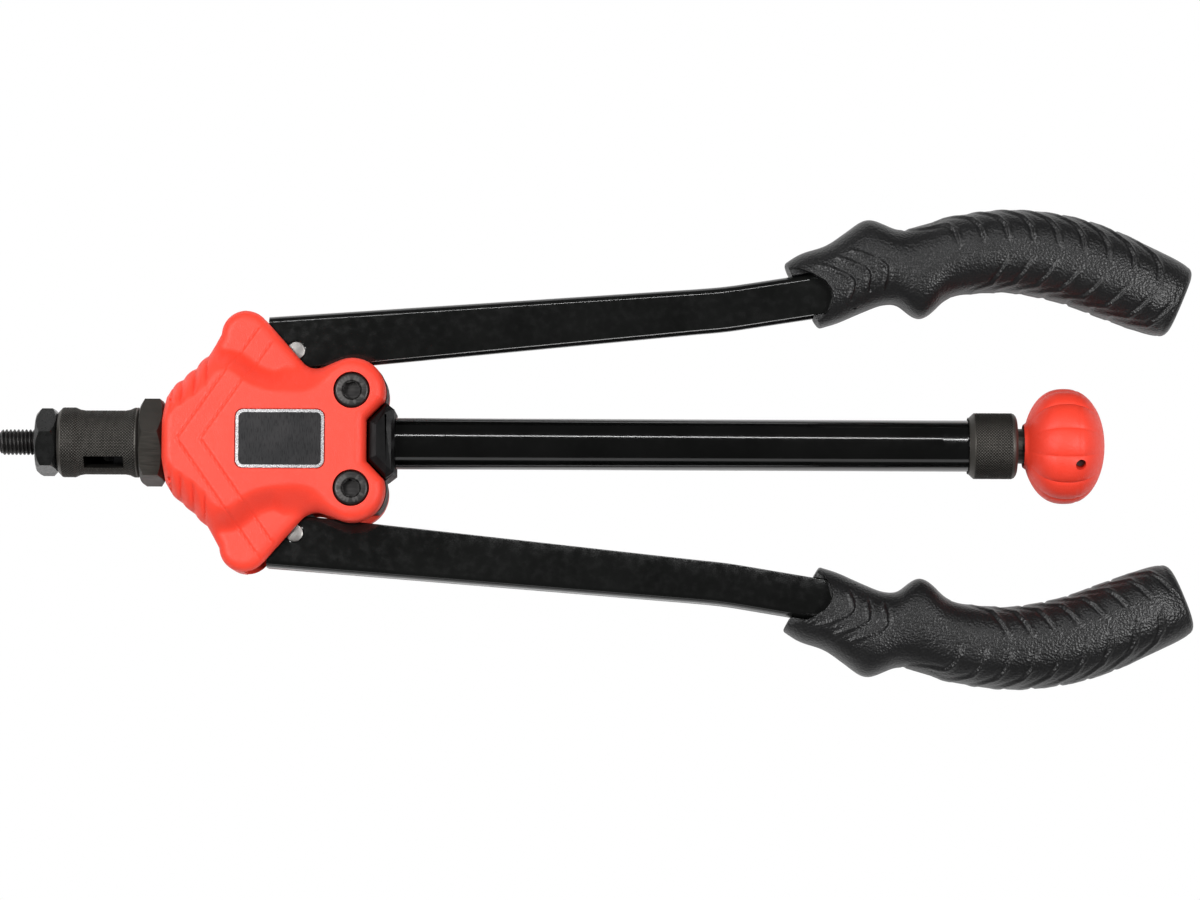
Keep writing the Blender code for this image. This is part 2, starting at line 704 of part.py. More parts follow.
def boss_outline():
    half = [(NOTCH_X + GAP, NOTCH_HALF_WIDTH - 2 * GAP),
            (NOTCH_X + BOSS_SHOULDER, NOTCH_MOUTH_HALF_WIDTH - 2 * GAP),
            (BLOCK_REAR, NOTCH_MOUTH_HALF_WIDTH - BLOCK_TAPER)]
    return mirrored(half)


def build_frame():
    low, high = AXIS_HEIGHT - PLATE_END, AXIS_HEIGHT + PLATE_END
    item = prism("frame", plate_outline(0.0), low, high)
    block = prism("block", block_outline(), AXIS_HEIGHT - BLOCK_HALF, AXIS_HEIGHT + BLOCK_HALF)
    root = AXIS_HEIGHT - BOSS_ROOT
    boss = rounded_prism("boss", boss_outline(), root, BLOCK_TOP, BLOCK_CHAMFER, 2)
    twin = flip_over(rounded_prism("boss_twin", boss_outline(), root, BLOCK_TOP, BLOCK_CHAMFER, 2))
    snout = turned("snout", [(CAVITY_FRONT, 0.0), (CAVITY_FRONT, SNOUT_DIAMETER / 2),
                             (SNOUT_FRONT + EDGE_CHAMFER, SNOUT_DIAMETER / 2),
                             (SNOUT_FRONT, SNOUT_DIAMETER / 2 - EDGE_CHAMFER),
                             (SNOUT_FRONT, 0.0)], closed=False)
    cavity = box("cavity", (CAVITY_FRONT, -CUT_REACH, AXIS_HEIGHT - PLATE_START),
                 (CAVITY_REAR, CUT_REACH, AXIS_HEIGHT + PLATE_START))
    join(item, block, boss, twin, snout)
    cut(item, cavity, along_axis("snout_bore", SNOUT_BORE, SNOUT_FRONT - GAP, CAVITY_FRONT + GAP),
        along_axis("spindle_hole", SPINDLE_DIAMETER + 2 * GAP, CAVITY_REAR - GAP, BLOCK_REAR + GAP),
        along_axis("tube_socket", TUBE_DIAMETER + 2 * GAP, TUBE_FRONT - GAP, BLOCK_REAR + GAP))
    for side in (1, -1):
        screw = SCREW_THREAD_DIAMETER + 2 * GAP
        fulcrum = FULCRUM_DIAMETER + 2 * GAP
        cut(item, upright("screw_hole", SCREW_X, side * SCREW_Y, screw, 0.0, CUT_REACH),
            upright("fulcrum_hole", FULCRUM_X, side * FULCRUM_Y, fulcrum, 0.0, CUT_REACH))
    return finish(item, black_paint())


def build_cap_screw(name, side):
    """Cap head screw with a hexagon socket, through both covers and the frame."""
    seat = COVER_HEIGHT - SCREW_HEAD_SINK + GAP
    top = seat + SCREW_HEAD_HEIGHT
    bottom = GAP * 2
    head = SCREW_HEAD_DIAMETER / 2
    shank = SCREW_THREAD_DIAMETER / 2
    profile = [(top, 0.0), (top, head - EDGE_CHAMFER), (top - EDGE_CHAMFER, head), (seat, head),
               (seat, shank), (bottom, shank), (bottom, 0.0)]
    item = turned_upright(name, SCREW_X, side * SCREW_Y, profile)
    flats = SCREW_HEX_FLATS / math.cos(math.pi / 6)
    cut(item, upright("socket", SCREW_X, side * SCREW_Y, flats, top - SCREW_HEX_DEPTH, CUT_REACH, sides=6))
    return finish(item, dark_oxide())


def turned_upright(name, x, y, profile, closed=False, steps=PIN_SIDES):
    """A turned piece on a vertical axis, from (z, radius) points that run down its outer side."""
    item = turned(name, [(z, radius) for z, radius in profile], closed, steps)
    place = (Matrix.Translation((x, y, 0.0)) @ Matrix.Rotation(-math.pi / 2, 4, "Y")
             @ Matrix.Translation((0.0, 0.0, -AXIS_HEIGHT)))
    item.data.transform(place)
    return item


def build_screw_nut(name, side):
    top = SCREW_NUT_HEIGHT - GAP
    flats = SCREW_NUT_FLATS / math.cos(math.pi / 6)
    item = upright(name, SCREW_X, side * SCREW_Y, flats, 2 * GAP, top, sides=6)
    cut(item, upright("nut_bore", SCREW_X, side * SCREW_Y, SCREW_THREAD_DIAMETER + 2 * GAP, -GAP, CUT_REACH))
    return finish(item, bright_zinc())


def build_fulcrum_pin(name, side):
    """Pin through the frame's plates and the lever, held lengthwise by the covers."""
    end = AXIS_HEIGHT + PLATE_END
    shank = FULCRUM_DIAMETER / 2
    profile = [(end, 0.0), (end, shank - PIN_CHAMFER), (end - PIN_CHAMFER, shank)]
    profile += [(2 * AXIS_HEIGHT - z, radius) for z, radius in reversed(profile)]
    item = turned_upright(name, FULCRUM_X, side * FULCRUM_Y, profile)
    return finish(item, plain_steel())


def arm_center(x):
    """Distance of an arm's centreline from the axis: straight, then bent outwards into the grip."""
    line = ARM_REFERENCE[1] + math.tan(ARM_SLOPE) * (x - ARM_REFERENCE[0])
    extra = math.tan(ARM_REAR_SLOPE) - math.tan(ARM_SLOPE)
    over = x - ARM_BEND_X
    if over <= 0.0:
        return line
    if over < ARM_BEND_LENGTH:
        return line + extra * over * over / (2 * ARM_BEND_LENGTH)
    return line + extra * (over - ARM_BEND_LENGTH / 2)


def arm_half_width(x):
    share = min(1.0, (x - ARM_FRONT_X) / (ARM_TAPER_END_X - ARM_FRONT_X))
    return (ARM_FRONT_WIDTH + (ARM_REAR_WIDTH - ARM_FRONT_WIDTH) * share) / 2


def arm_stations(start, end):
    bend = [ARM_BEND_X + ARM_BEND_LENGTH * step / 4 for step in range(5)]
    inside = [x for x in [ARM_TAPER_END_X] + bend if start < x < end]
    return [start] + inside + [end]


def arm_strip(start, end, outer, inner, side):
    """A plan strip that follows the arm, its edges moved in from the arm's own by outer and inner."""
    stations = arm_stations(start, end)
    far = [(x, side * (arm_center(x) + arm_half_width(x) - outer)) for x in stations]
    near = [(x, side * (arm_center(x) - arm_half_width(x) + inner)) for x in stations]
    return far + near[::-1]


def build_arm_channel(name, side):
    half = ARM_HEIGHT / 2
    strip = arm_strip(ARM_FRONT_X, ARM_END_X, 0.0, 0.0, side)
    item = prism(name, strip, AXIS_HEIGHT - half, AXIS_HEIGHT + half)
    shape = bmesh.new()
    shape.from_mesh(item.data)
    outer_edges = []
    for edge in shape.edges:
        first, second = (v.co for v in edge.verts)
        level = abs(first.z - second.z) < 1e-6
        outside = all(abs(v.y) > arm_center(v.x) for v in (first, second))
        if level and outside and abs(first.x - second.x) > 1e-5:
            outer_edges.append(edge)
    bmesh.ops.bevel(shape, geom=outer_edges, offset=ARM_CORNER_ROUND, segments=3, profile=0.5, affect="EDGES")
    shape.to_mesh(item.data)
    shape.free()
    hollow = arm_strip(ARM_FRONT_X - GAP, ARM_END_X + GAP, ARM_WALL, -ARM_WALL, side)
    inside = half - ARM_WALL
    cut(item, prism("hollow", hollow, AXIS_HEIGHT - inside, AXIS_HEIGHT + inside),
        upright("pin_hole", LINK_PIN_X, side * LINK_PIN_Y, LINK_PIN_DIAMETER + 2 * GAP, 0.0, CUT_REACH))
    return finish(item, black_paint())


def build_lever(name, side):
    """Forked lever inside the channel's end: its cheeks carry the fulcrum's boss, with the link between them."""
    half = ARM_HEIGHT / 2 - ARM_WALL - GAP
    low, high = AXIS_HEIGHT - half, AXIS_HEIGHT + half
    strip = arm_strip(FULCRUM_X - LEVER_HEAD, LEVER_TAIL_X, ARM_WALL + GAP, LEVER_INSET, side)
    item = prism(name, strip, low, high)
    neck = [(FULCRUM_X - LEVER_NECK, side * FULCRUM_Y), (FULCRUM_X - LEVER_NECK, side * LEVER_ROOT_Y),
            (FULCRUM_X + LEVER_ROOT_LENGTH, side * (LEVER_ROOT_Y + LEVER_NECK / 2)),
            (FULCRUM_X + LEVER_NECK, side * FULCRUM_Y)]
    eye = upright("eye", FULCRUM_X, side * FULCRUM_Y, LEVER_EYE_RADIUS * 2, low, high)
    boss_reach = PLATE_START - GAP
    boss = upright("boss", FULCRUM_X, side * FULCRUM_Y, LEVER_BOSS_DIAMETER, AXIS_HEIGHT - boss_reach,
                   AXIS_HEIGHT + boss_reach)
    join(item, prism("neck", neck, low, high), eye, boss)
    slot = box("slot", (LEVER_SLOT_END - CUT_REACH, -CUT_REACH, AXIS_HEIGHT - LINK_SLOT_HALF),
               (LEVER_SLOT_END, CUT_REACH, AXIS_HEIGHT + LINK_SLOT_HALF))
    cut(item, slot,
        upright("fulcrum_hole", FULCRUM_X, side * FULCRUM_Y, FULCRUM_DIAMETER + 2 * GAP, 0.0, CUT_REACH),
        upright("pin_hole", LINK_PIN_X, side * LINK_PIN_Y, LINK_PIN_DIAMETER + 2 * GAP, 0.0, CUT_REACH))
    return finish(item, dark_oxide())


def build_link_pin(name, side):
    reach = ARM_HEIGHT / 2 + LINK_PIN_PROUD
    radius = LINK_PIN_DIAMETER / 2
    profile = [(AXIS_HEIGHT + reach, 0.0), (AXIS_HEIGHT + reach, radius - PIN_CHAMFER),
               (AXIS_HEIGHT + reach - PIN_CHAMFER, radius)]
    profile += [(2 * AXIS_HEIGHT - z, r) for z, r in reversed(profile)]
    item = turned_upright(name, LINK_PIN_X, side * LINK_PIN_Y, profile, steps=PIN_SIDES)
    return finish(item, bright_zinc())


def build_link(name, start, goal):
    """Link from the arm's pin to the sleeve's pin, where its eye has the open pivot's clearance."""
    way = (Vector(goal) - Vector(start)).normalized()
    far = Vector(start) + way * LINK_LENGTH
    low, high = AXIS_HEIGHT - LINK_THICKNESS / 2, AXIS_HEIGHT + LINK_THICKNESS / 2
    item = upright(name, start[0], start[1], LINK_EYE_RADIUS * 2, low, high)
    across = Vector((-way.y, way.x)) * (LINK_WIDTH / 2)
    near = Vector(start)
    bar = [tuple(point) for point in (near + across, far + across, far - across, near - across)]
    join(item, prism("bar", bar, low, high),
         upright("far_eye", far.x, far.y, LINK_SLEEVE_EYE_RADIUS * 2, low, high))
    cut(item, upright("pin_hole", start[0], start[1], LINK_PIN_DIAMETER + 2 * GAP, 0.0, CUT_REACH),
        upright("open_hole", far.x, far.y, SLEEVE_PIN_DIAMETER + 2 * OPEN_PIVOT_CLEARANCE, 0.0, CUT_REACH))
    return finish(item, plain_steel())


def grip_ring(station, side, scale=1.0, shift=0.0):
    """One section of a grip: a squarish oval between the outer and the inner edge point."""
    outer = Vector((station[0], side * station[1], 0.0))
    inner = Vector((station[2], side * station[3], 0.0))
    middle = (outer + inner) / 2
    across = (outer - inner) / 2
    forward = Vector((across.y, -across.x, 0.0)).normalized() * side
    ring = []
    for step in range(GRIP_SECTION_SIDES):
        angle = 2 * math.pi * step / GRIP_SECTION_SIDES
        c, s = math.cos(angle), math.sin(angle)
        wide = math.copysign(abs(c) ** GRIP_SECTION_POWER, c) * scale
        tall = math.copysign(abs(s) ** GRIP_SECTION_POWER, s) * scale * station[4]
        ring.append(middle + across * wide + Vector((0.0, 0.0, tall + AXIS_HEIGHT)) + forward * shift)
    return ring


def build_grip(name, side):
    """Moulded grip lofted through its stations, with a finger guard and a socket for the arm's end."""
    rings = [grip_ring(GRIP_STATIONS[0], side, 0.93, -GRIP_END_ROUND * 0.6)]
    rings += [grip_ring(station, side) for station in GRIP_STATIONS]
    rings += [grip_ring(GRIP_STATIONS[-1], side, 0.93, GRIP_END_ROUND),
              grip_ring(GRIP_STATIONS[-1], side, 0.80, GRIP_END_ROUND * 1.6)]
    shape = bmesh.new()
    rows = [[shape.verts.new(point) for point in ring] for ring in rings]
    for row, after in zip(rows, rows[1:]):
        for step in range(GRIP_SECTION_SIDES):
            beside = (step + 1) % GRIP_SECTION_SIDES
            shape.faces.new((row[step], row[beside], after[beside], after[step]))
    shape.faces.new(rows[0])
    shape.faces.new(rows[-1])
    item = object_from(name, shape)
    half = ARM_HEIGHT / 2 + GAP
    socket = arm_strip(GRIP_SOCKET_START, ARM_END_X + GAP, -GAP, -GAP, side)
    cut(item, prism("socket", socket, AXIS_HEIGHT - half, AXIS_HEIGHT + half))
    return finish(item, black_rubber(), 50.0)


def build_pull_sleeve():
    """Sleeve that slides on the axis, with a pair of lugs on each side for the links' pins."""
    start = SLEEVE_PIN_X - SLEEVE_LENGTH / 2
    end = start + SLEEVE_LENGTH
    outer = SLEEVE_DIAMETER / 2
    bore = SPINDLE_FRONT_DIAMETER / 2 + GAP
    profile = [(end, bore), (end, outer - EDGE_CHAMFER), (end - EDGE_CHAMFER, outer),
               (start + EDGE_CHAMFER, outer), (start, outer - EDGE_CHAMFER), (start, bore)]
    item = turned("pull_sleeve", profile, steps=HIDDEN_SIDES * 2)
    inside = LINK_SLOT_HALF
    bore_cut = along_axis("bore", 2 * bore, start - GAP, end + GAP, sides=HIDDEN_SIDES * 2)
    for level in (1, -1):
        low, high = sorted((AXIS_HEIGHT + level * inside, AXIS_HEIGHT + level * SLEEVE_LUG_HALF_HEIGHT))
        reach = LINK_SLEEVE_EYE_RADIUS
        corner = (SLEEVE_PIN_X - reach, -SLEEVE_PIN_Y, low)
        join(item, box("lug", corner, (SLEEVE_PIN_X + reach, SLEEVE_PIN_Y, high)))
        for y in (SLEEVE_PIN_Y, -SLEEVE_PIN_Y):
            join(item, upright("lug_end", SLEEVE_PIN_X, y, 2 * reach, low, high, HIDDEN_SIDES))
    for side in (1, -1):
        cut(item, upright("pin_hole", SLEEVE_PIN_X, side * SLEEVE_PIN_Y, SLEEVE_PIN_DIAMETER + 2 * GAP, 0.0,
                          CUT_REACH, HIDDEN_SIDES),
            upright("link_room", SLEEVE_PIN_X, side * SLEEVE_PIN_Y, 2 * (LINK_SLEEVE_EYE_RADIUS + LINK_ROOM),
                    AXIS_HEIGHT - inside, AXIS_HEIGHT + inside, HIDDEN_SIDES))
    cut(item, bore_cut)
    return finish(item, plain_steel())


def build_sleeve_pin(name, side):
    reach = SLEEVE_LUG_HALF_HEIGHT + SLEEVE_PIN_PROUD
    item = upright(name, SLEEVE_PIN_X, side * SLEEVE_PIN_Y, SLEEVE_PIN_DIAMETER, AXIS_HEIGHT - reach,
                   AXIS_HEIGHT + reach)
    return finish(item, plain_steel())


def sleeve_rear():
    return SLEEVE_PIN_X + SLEEVE_LENGTH / 2


def build_thrust_washer():
    start = sleeve_rear() + GAP
    bore = SPINDLE_FRONT_DIAMETER / 2 + GAP
    outer = THRUST_DIAMETER / 2
    end = start + THRUST_THICKNESS
    item = turned("thrust_washer", [(end, bore), (end, outer), (start, outer), (start, bore)])
    return finish(item, bronze())


def build_spindle():
    shoulder = sleeve_rear() + THRUST_THICKNESS + 2 * GAP
    front = ADAPTOR_FRONT + ADAPTOR_LENGTH - ADAPTOR_REAR_SOCKET + GAP
    thin = SPINDLE_FRONT_DIAMETER / 2
    thick = SPINDLE_DIAMETER / 2
    profile = [(SPINDLE_END, 0.0), (SPINDLE_END, thick - EDGE_CHAMFER), (SPINDLE_END - EDGE_CHAMFER, thick),
               (shoulder, thick), (shoulder, thin), (front, thin), (front, 0.0)]
    item = turned("spindle", profile, closed=False)
    hole = upright("screw_seat", 0.0, 0.0, KNOB_SCREW_DIAMETER + 2 * GAP, thick - KNOB_SCREW_SEAT,
                   thick + GAP)
    hole.data.transform(knob_screw_place())
    return finish(cut(item, hole), dark_oxide())


def knob_screw_place():
    return (Matrix.Translation((KNOB_SCREW_X, 0.0, AXIS_HEIGHT)) @ Matrix.Rotation(-KNOB_SCREW_TURN, 4, "X"))


def build_adaptor():
    rear = ADAPTOR_FRONT + ADAPTOR_LENGTH
    outer = ADAPTOR_DIAMETER / 2
    front_socket = MANDREL_DIAMETER / 2 + GAP
    rear_socket = SPINDLE_FRONT_DIAMETER / 2 + GAP
    floor = ADAPTOR_FRONT + ADAPTOR_SOCKET_DEPTH
    inner = rear - ADAPTOR_REAR_SOCKET
    profile = [(inner, 0.0), (inner, rear_socket), (rear, rear_socket), (rear, outer - EDGE_CHAMFER),
               (rear - EDGE_CHAMFER, outer), (ADAPTOR_FRONT + EDGE_CHAMFER, outer),
               (ADAPTOR_FRONT, outer - EDGE_CHAMFER),
               (ADAPTOR_FRONT, front_socket), (floor, front_socket), (floor, 0.0)]
    return finish(turned("mandrel_adaptor", profile, closed=False), bright_zinc())


def build_tube():
    outer = TUBE_DIAMETER / 2
    bore = TUBE_BORE / 2
    profile = [(TUBE_END, bore), (TUBE_END, outer - EDGE_CHAMFER), (TUBE_END - EDGE_CHAMFER, outer),
               (TUBE_FRONT, outer), (TUBE_FRONT, bore)]
    item = turned("centre_tube", profile)
    level = outer - TUBE_FLAT_DEPTH
    flat_end = TUBE_FLAT_START + TUBE_FLAT_LENGTH
    flat = box("flat", (TUBE_FLAT_START, -outer, level), (flat_end, outer, 2 * outer))
    flat.data.transform(Matrix.Translation((0.0, 0.0, AXIS_HEIGHT)) @ Matrix.Rotation(TUBE_FLAT_TURN, 4, "X"))
    return finish(cut(item, flat), black_paint())


def build_rear_bush():
    outer = TUBE_BORE / 2 - GAP
    bore = SPINDLE_DIAMETER / 2 + GAP
    start = TUBE_END - BUSH_LENGTH
    item = turned("rear_bush", [(TUBE_END, bore), (TUBE_END, outer), (start, outer), (start, bore)])
    return finish(item, bronze())


def build_stroke_collar():
    """Knurled collar on the tube's end: its floor leaves room for the whole travel over the tube."""
    rear = COLLAR_FRONT + COLLAR_LENGTH
    outer = COLLAR_DIAMETER / 2
    bore = TUBE_DIAMETER / 2 + GAP
    hole = SPINDLE_DIAMETER / 2 + GAP
    floor = rear - COLLAR_FLOOR
    profile = [(rear, hole), (rear, outer - COLLAR_LIP), (rear - COLLAR_LIP, outer),
               (COLLAR_FRONT + COLLAR_LIP, outer), (COLLAR_FRONT, outer - COLLAR_LIP),
               (COLLAR_FRONT, bore + EDGE_CHAMFER), (COLLAR_FRONT + EDGE_CHAMFER, bore),
               (floor, bore), (floor, hole)]
    return finish(turned("stroke_collar", profile), dark_oxide())


def knob_radius(share):
    """Radius of the knob at a share of its length: a flattened ball."""
    return KNOB_DIAMETER / 2 * max(0.0, 1 - abs(2 * share - 1) ** KNOB_FULLNESS) ** 0.5


def build_knob():
    """Fluted knob with a recess round the spindle in its front and a bore that takes the spindle's end."""
    rear = KNOB_FRONT + KNOB_LENGTH
    recess = KNOB_RECESS_DIAMETER / 2
    bore = SPINDLE_DIAMETER / 2 + GAP
    floor = KNOB_FRONT + KNOB_RECESS_DEPTH
    shares = [0.5 * (1 + math.cos(math.pi * step / KNOB_PROFILE_STEPS)) for step in range(KNOB_PROFILE_STEPS)]
    profile = [(KNOB_FRONT + KNOB_LENGTH * share, knob_radius(share)) for share in shares]
    profile = [point for point in profile if point[0] > rear - KNOB_LENGTH / 2 or point[1] > recess + EDGE_CHAMFER]
    profile += [(KNOB_FRONT, recess + GAP), (KNOB_FRONT + GAP, recess), (floor, recess), (floor, bore),
                (SPINDLE_END + GAP, bore), (SPINDLE_END + GAP, 0.0)]
    item = turned("knob", profile, closed=False, steps=KNOB_FLUTES * KNOB_FLUTE_STEPS)
    for vert in item.data.vertices:
        y, z = vert.co.y, vert.co.z - AXIS_HEIGHT
        radius = math.hypot(y, z)
        if radius < recess + EDGE_CHAMFER:
            continue
        wave = abs(math.cos(math.atan2(z, y) * KNOB_FLUTES / 2)) ** 0.6
        strength = min(1.0, (radius - recess) / (KNOB_DIAMETER / 2 - recess))
        shrink = 1 - KNOB_FLUTE_DEPTH * strength * (1 - wave) / radius
        vert.co.y = y * shrink
        vert.co.z = z * shrink + AXIS_HEIGHT
    hole = upright("knob_hole", 0.0, 0.0, KNOB_SCREW_HOLE, 0.0, KNOB_DIAMETER)
    hole.data.transform(knob_screw_place())
    return finish(cut(item, hole), red_plastic(), 40.0)


def build_knob_screw():
    """Set screw that holds the knob on the spindle, sunk in the knob's hole."""
    item = upright("knob_screw", 0.0, 0.0, KNOB_SCREW_DIAMETER, SPINDLE_DIAMETER / 2 - KNOB_SCREW_SEAT + GAP,
                   KNOB_DIAMETER / 2 - KNOB_SCREW_SINK)
    item.data.transform(knob_screw_place())
    return finish(item, dark_oxide())


def hang(items, name, pivot, turn=0.0):
    """Gives pieces an empty on their joint's axis, and turns them about it."""
    holder = bpy.data.objects.new(name, None)
    holder.empty_display_size = 0.01
    PARTS.objects.link(holder)
    holder.location = pivot
    holder.rotation_euler = (0.0, 0.0, turn)
    for item in items:
        item.data.transform(Matrix.Translation(-Vector(pivot)))
        item.parent = holder
    return holder


def build_arm(word, side):
    play = 0.0 if side > 0 else -LOWER_ARM_PLAY
    pivot = (FULCRUM_X, side * FULCRUM_Y, AXIS_HEIGHT)
    items = [build_arm_channel(word + "_arm_channel", side), build_lever(word + "_lever", side),
             build_link_pin(word + "_link_pin", side), build_grip(word + "_grip", side)]
    hang(items, word + "_arm_axis", pivot, play)
    pin = Matrix.Translation(pivot) @ Matrix.Rotation(play, 4, "Z") @ Matrix.Translation(-Vector(pivot))
    start = pin @ Vector((LINK_PIN_X, side * LINK_PIN_Y, AXIS_HEIGHT))
    link = build_link(word + "_link", (start.x, start.y), (SLEEVE_PIN_X, side * SLEEVE_PIN_Y))
    hang([link], word + "_link_axis", tuple(start))
    build_fulcrum_pin(word + "_fulcrum_pin", side)


def build_tool():
    build_frame()
    build_cover("top_cover", badge=True)
    build_cover("bottom_cover", badge=False)
    build_badge()
    build_tube()
    build_rear_bush()
    for word, side in (("upper", 1), ("lower", -1)):
        build_cap_screw(word + "_cap_screw", side)
        build_screw_nut(word + "_screw_nut", side)
        build_arm(word, side)
    nose = [build_nose_sleeve()]
    hang(nose, "nose_axis", (NOSE_FRONT, 0.0, AXIS_HEIGHT))
    hang([build_anvil()], "anvil_axis", (ANVIL_FRONT, 0.0, AXIS_HEIGHT))
    hang([build_lock_nut()], "lock_nut_axis", (LOCK_NUT_FRONT, 0.0, AXIS_HEIGHT))
    sleeve = [build_pull_sleeve(), build_sleeve_pin("upper_sleeve_pin", 1),
              build_sleeve_pin("lower_sleeve_pin", -1), build_thrust_washer()]
    hang(sleeve, "sleeve_axis", (SLEEVE_PIN_X, 0.0, AXIS_HEIGHT))
    turning = [build_spindle(), build_adaptor(), build_mandrel(), build_knob(), build_knob_screw()]
    hang(turning, "spindle_axis", (KNOB_FRONT, 0.0, AXIS_HEIGHT))
    hang([build_stroke_collar()], "collar_axis", (COLLAR_FRONT, 0.0, AXIS_HEIGHT))


def center_on_floor():
    """Moves the whole tool so that its box is centred over the origin, with its lowest face on the floor."""
    bpy.context.view_layer.update()
    points = [item.matrix_world @ vert.co for item in PARTS.objects if item.type == "MESH"
              for vert in item.data.vertices]
    low = Vector([min(point[axis] for point in points) for axis in range(3)])
    high = Vector([max(point[axis] for point in points) for axis in range(3)])
    for item in PARTS.objects:
        if item.parent is None:
            item.location -= Vector(((low.x + high.x) / 2, (low.y + high.y) / 2, low.z))


build_tool()
center_on_floor()
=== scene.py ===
"""Looks of the long-arm rivet nut tool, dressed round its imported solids, in metres."""

import math

import bmesh
import bpy
import numpy as np
from mathutils import Matrix, Quaternion, Vector
from mathutils.geometry import delaunay_2d_cdt


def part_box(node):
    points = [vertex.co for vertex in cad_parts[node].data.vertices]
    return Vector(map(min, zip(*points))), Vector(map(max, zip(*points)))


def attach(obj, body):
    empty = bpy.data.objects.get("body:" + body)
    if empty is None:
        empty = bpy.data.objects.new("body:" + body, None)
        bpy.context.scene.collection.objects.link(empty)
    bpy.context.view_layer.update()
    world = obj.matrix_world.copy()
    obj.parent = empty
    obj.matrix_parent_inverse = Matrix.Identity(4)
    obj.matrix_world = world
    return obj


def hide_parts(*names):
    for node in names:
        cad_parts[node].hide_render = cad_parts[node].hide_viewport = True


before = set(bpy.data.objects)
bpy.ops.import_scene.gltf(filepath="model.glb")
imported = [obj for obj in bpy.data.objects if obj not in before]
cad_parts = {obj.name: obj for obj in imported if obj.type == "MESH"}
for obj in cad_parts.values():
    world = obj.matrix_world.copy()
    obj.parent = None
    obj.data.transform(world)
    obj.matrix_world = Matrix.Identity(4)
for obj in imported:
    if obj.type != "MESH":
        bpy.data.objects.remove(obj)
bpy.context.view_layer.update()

# Where the tool's own axis and middle plane lie in the frame
BADGE_CAD_X = -0.1205
BADGE_LOW, BADGE_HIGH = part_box("badge_plate")
TUBE_LOW, TUBE_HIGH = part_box("centre_tube")
AXIS_Y = (TUBE_LOW[1] + TUBE_HIGH[1]) / 2
AXIS_Z = (TUBE_LOW[2] + TUBE_HIGH[2]) / 2
SHIFT_X = (BADGE_LOW[0] + BADGE_HIGH[0]) / 2 - BADGE_CAD_X
ON_AXIS = Matrix.Translation((SHIFT_X, AXIS_Y, AXIS_Z))


# Node helpers for the materials

def new_material(name):
    material = bpy.data.materials.new(name)
    material.use_nodes = True
    return material, material.node_tree, material.node_tree.nodes["Principled BSDF"]


def coordinates(tree, scale=(1.0, 1.0, 1.0)):
    source = tree.nodes.new("ShaderNodeTexCoord")
    mapping = tree.nodes.new("ShaderNodeMapping")
    mapping.inputs["Scale"].default_value = scale
    tree.links.new(source.outputs["Object"], mapping.inputs["Vector"])
    return mapping.outputs["Vector"]


def noise(tree, vector, scale, detail=3.0):
    node = tree.nodes.new("ShaderNodeTexNoise")
    node.inputs["Scale"].default_value = scale
    node.inputs["Detail"].default_value = detail
    tree.links.new(vector, node.inputs["Vector"])
    return node.outputs["Fac"]


def cells(tree, vector, scale, smooth=0.35):
    node = tree.nodes.new("ShaderNodeTexVoronoi")
    node.feature = "SMOOTH_F1"
    node.inputs["Scale"].default_value = scale
    node.inputs["Smoothness"].default_value = smooth
    tree.links.new(vector, node.inputs["Vector"])
    return node.outputs["Distance"]


def ramp(tree, value, stops):
    """Stops are (position, color or number) pairs."""
    node = tree.nodes.new("ShaderNodeValToRGB")
    elements = node.color_ramp.elements
    while len(elements) < len(stops):
        elements.new(0.5)
    for element, (position, color) in zip(elements, stops):
        element.position = position
        tone = color if isinstance(color, tuple) else (color, color, color)
        element.color = (*tone, 1.0)
    tree.links.new(value, node.inputs["Fac"])
    return node.outputs["Color"]


def spread(tree, value, low, high, start=0.35, end=0.65):
    """Maps a noise value to a number between low and high."""
    node = tree.nodes.new("ShaderNodeMapRange")
    node.inputs["From Min"].default_value = start
    node.inputs["From Max"].default_value = end
    node.inputs["To Min"].default_value = low
    node.inputs["To Max"].default_value = high
    tree.links.new(value, node.inputs["Value"])
    return node.outputs["Result"]


def mix(tree, factor, first, second):
    """Mixes two colors; first and second are tuples or outputs, the factor is an output."""
    node = tree.nodes.new("ShaderNodeMix")
    node.data_type = "RGBA"
    for name, value in (("A", first), ("B", second)):
        socket = next(s for s in node.inputs if s.name == name and s.type == "RGBA")
        if isinstance(value, tuple):
            socket.default_value = (*value, 1.0)
        else:
            tree.links.new(value, socket)
    tree.links.new(factor, node.inputs["Factor"])
    return next(s for s in node.outputs if s.type == "RGBA")


def bump(tree, shader, height, strength, distance):
    """Adds a bump to the shader's normal, on top of any bump before it."""
    node = tree.nodes.new("ShaderNodeBump")
    node.inputs["Strength"].default_value = strength
    node.inputs["Distance"].default_value = distance
    tree.links.new(height, node.inputs["Height"])
    before = shader.inputs["Normal"]
    if before.is_linked:
        tree.links.new(before.links[0].from_socket, node.inputs["Normal"])
    tree.links.new(node.outputs["Normal"], before)


def surface(tree, shader, color, roughness, specular=0.5, metallic=0.0):
    tree.links.new(color, shader.inputs["Base Color"])
    tree.links.new(roughness, shader.inputs["Roughness"])
    shader.inputs["Specular IOR Level"].default_value = specular
    shader.inputs["Metallic"].default_value = metallic


# Materials

